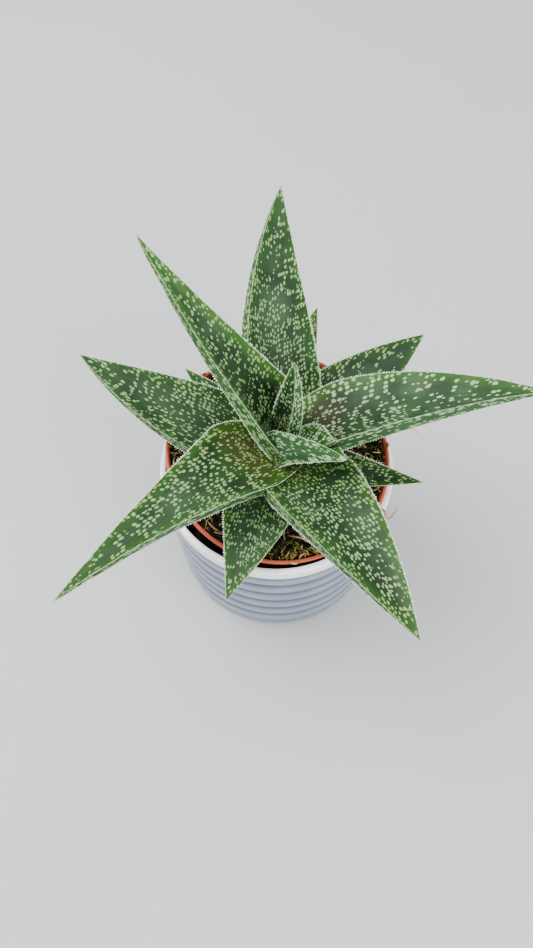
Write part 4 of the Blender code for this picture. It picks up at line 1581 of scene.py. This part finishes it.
class LeafSettings(bpy.types.PropertyGroup):
    tooth_pitch: length_setting("Tooth pitch", "Distance between teeth", 0.0013)
    tooth_height: length_setting("Tooth height", "Height of a full tooth", 0.00075)
    tooth_girth: length_setting("Tooth girth", "Half width of a full tooth's foot", 0.00042)
    bead: length_setting("Margin bead", "Radius of the gristle along an edge", 0.00014)
    middle: colour_setting("Middle", "Green of the blade's middle", srgb(38, 65, 33))
    middle_dark: colour_setting("Dark middle", "Darkest green", srgb(20, 41, 19))
    # Grey bloom, partly painted sheen.
    bloom_and_sheen: colour_setting("Bloom", "Grey bloom on the middle", srgb(67, 92, 66))
    edge: colour_setting("Edge", "Brighter green beside the margins", srgb(56, 104, 24))
    under: colour_setting("Underside", "Green below and beside the keel", srgb(43, 80, 42))
    base: colour_setting("Base", "Yellow green at the base", srgb(60, 88, 20))
    # Painted shade deep in the rosette, with some of the bases' darker green.
    heart_shade: colour_setting("Heart", "Deep green in the middle of the rosette", srgb(6, 24, 4))
    rust: colour_setting("Rust", "Brown at the very base", srgb(66, 54, 38))
    tip: colour_setting("Tip", "Dry point of the leaf", srgb(84, 64, 50))
    spot: colour_setting("Spot", "Cream spots", srgb(135, 167, 103))
    spot_old: colour_setting("Old spot", "Spots near the base", srgb(131, 142, 88))
    spot_pale: colour_setting("Pale spot", "Whitest spots", srgb(170, 196, 150))
    margin: colour_setting("Margin", "Pearly gristle", srgb(200, 212, 188))
    margin_green: colour_setting("Greener margin", "Gristle where it is thin", srgb(124, 154, 104))


class StageSettings(bpy.types.PropertyGroup):
    floor: colour_setting("Floor", "Colour of the floor", (0.46, 0.46, 0.455))
    ambient: number_setting("Ambient", "Strength of the room's light", 2.1)
    key_power: number_setting("Overhead light", "Watts of the overhead softbox", 18.0)
    fill_power: number_setting("Fill light", "Watts of the front fill", 14.0)


class PlantSettings(bpy.types.PropertyGroup):
    cover_pot: PointerProperty(type=CoverPotSettings)
    nursery_pot: PointerProperty(type=NurseryPotSettings)
    peat: PointerProperty(type=PeatSettings)
    leaves: PointerProperty(type=LeafSettings)
    stage: PointerProperty(type=StageSettings)


class PLANT_OT_cover_pot(bpy.types.Operator):
    """Turn the ribbed ceramic cover pot"""
    bl_idname = "plant.cover_pot"
    bl_label = "Cover pot"

    def execute(self, context):
        build_cover_pot(context.scene.plant.cover_pot)
        return {"FINISHED"}


class PLANT_OT_nursery_pot(bpy.types.Operator):
    """Mould the tilted plastic nursery pot"""
    bl_idname = "plant.nursery_pot"
    bl_label = "Nursery pot"

    def execute(self, context):
        build_nursery_pot(context.scene.plant.nursery_pot)
        return {"FINISHED"}


class PLANT_OT_peat(bpy.types.Operator):
    """Fill the nursery pot with peat"""
    bl_idname = "plant.peat"
    bl_label = "Peat"

    def execute(self, context):
        build_peat(context.scene.plant.peat)
        return {"FINISHED"}


class PLANT_OT_litter(bpy.types.Operator):
    """Scatter crumbs, moss, dry fibres and straw over the peat"""
    bl_idname = "plant.litter"
    bl_label = "Crumbs, moss, fibres and straw"

    def execute(self, context):
        build_litter(context.scene.plant.peat)
        return {"FINISHED"}


class PLANT_OT_loose_fibres(bpy.types.Operator):
    """Lay the few larger bits of straw and root on the peat and over the lip"""
    bl_idname = "plant.loose_fibres"
    bl_label = "Loose fibres"

    def execute(self, context):
        build_loose_fibres(context.scene.plant.peat)
        return {"FINISHED"}


class PLANT_OT_stem(bpy.types.Operator):
    """Grow the short stem"""
    bl_idname = "plant.stem"
    bl_label = "Stem"

    def execute(self, context):
        build_stem(context.scene.plant.leaves)
        return {"FINISHED"}


class PLANT_OT_leaves(bpy.types.Operator):
    """Grow the leaves with their toothed margins"""
    bl_idname = "plant.leaves"
    bl_label = "Leaves"

    def execute(self, context):
        build_leaves(context.scene.plant.leaves)
        return {"FINISHED"}


class PLANT_OT_stage(bpy.types.Operator):
    """Set the floor, the light and the camera"""
    bl_idname = "plant.stage"
    bl_label = "Stage"

    def execute(self, context):
        build_stage(context.scene.plant.stage)
        return {"FINISHED"}


OPERATORS = (PLANT_OT_cover_pot, PLANT_OT_nursery_pot, PLANT_OT_peat, PLANT_OT_litter,
             PLANT_OT_loose_fibres, PLANT_OT_stem, PLANT_OT_leaves, PLANT_OT_stage)


class PLANT_PT_pieces(bpy.types.Panel):
    """Buttons that build the plant piece by piece"""
    bl_idname = "PLANT_PT_pieces"
    bl_label = "Potted gasteraloe"
    bl_space_type = "VIEW_3D"
    bl_region_type = "UI"
    bl_category = "Plant"

    def draw(self, context):
        for operator in OPERATORS:
            self.layout.operator(operator.bl_idname)
        for group in ("cover_pot", "nursery_pot", "peat", "leaves", "stage"):
            settings = getattr(context.scene.plant, group)
            box = self.layout.box()
            for name in settings.bl_rna.properties.keys():
                if name not in ("rna_type", "name"):
                    box.prop(settings, name)


CLASSES = (CoverPotSettings, NurseryPotSettings, PeatSettings, LeafSettings, StageSettings,
           PlantSettings, *OPERATORS, PLANT_PT_pieces)


def register():
    for item in CLASSES:
        bpy.utils.register_class(item)
    bpy.types.Scene.plant = PointerProperty(type=PlantSettings)


def unregister():
    del bpy.types.Scene.plant
    for item in reversed(CLASSES):
        bpy.utils.unregister_class(item)


def main():
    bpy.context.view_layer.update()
    register()
    bpy.ops.plant.cover_pot()
    bpy.ops.plant.nursery_pot()
    bpy.ops.plant.peat()
    bpy.ops.plant.litter()
    bpy.ops.plant.loose_fibres()
    bpy.ops.plant.stem()
    bpy.ops.plant.leaves()
    bpy.ops.plant.stage()


if __name__ == "__main__":
    main()
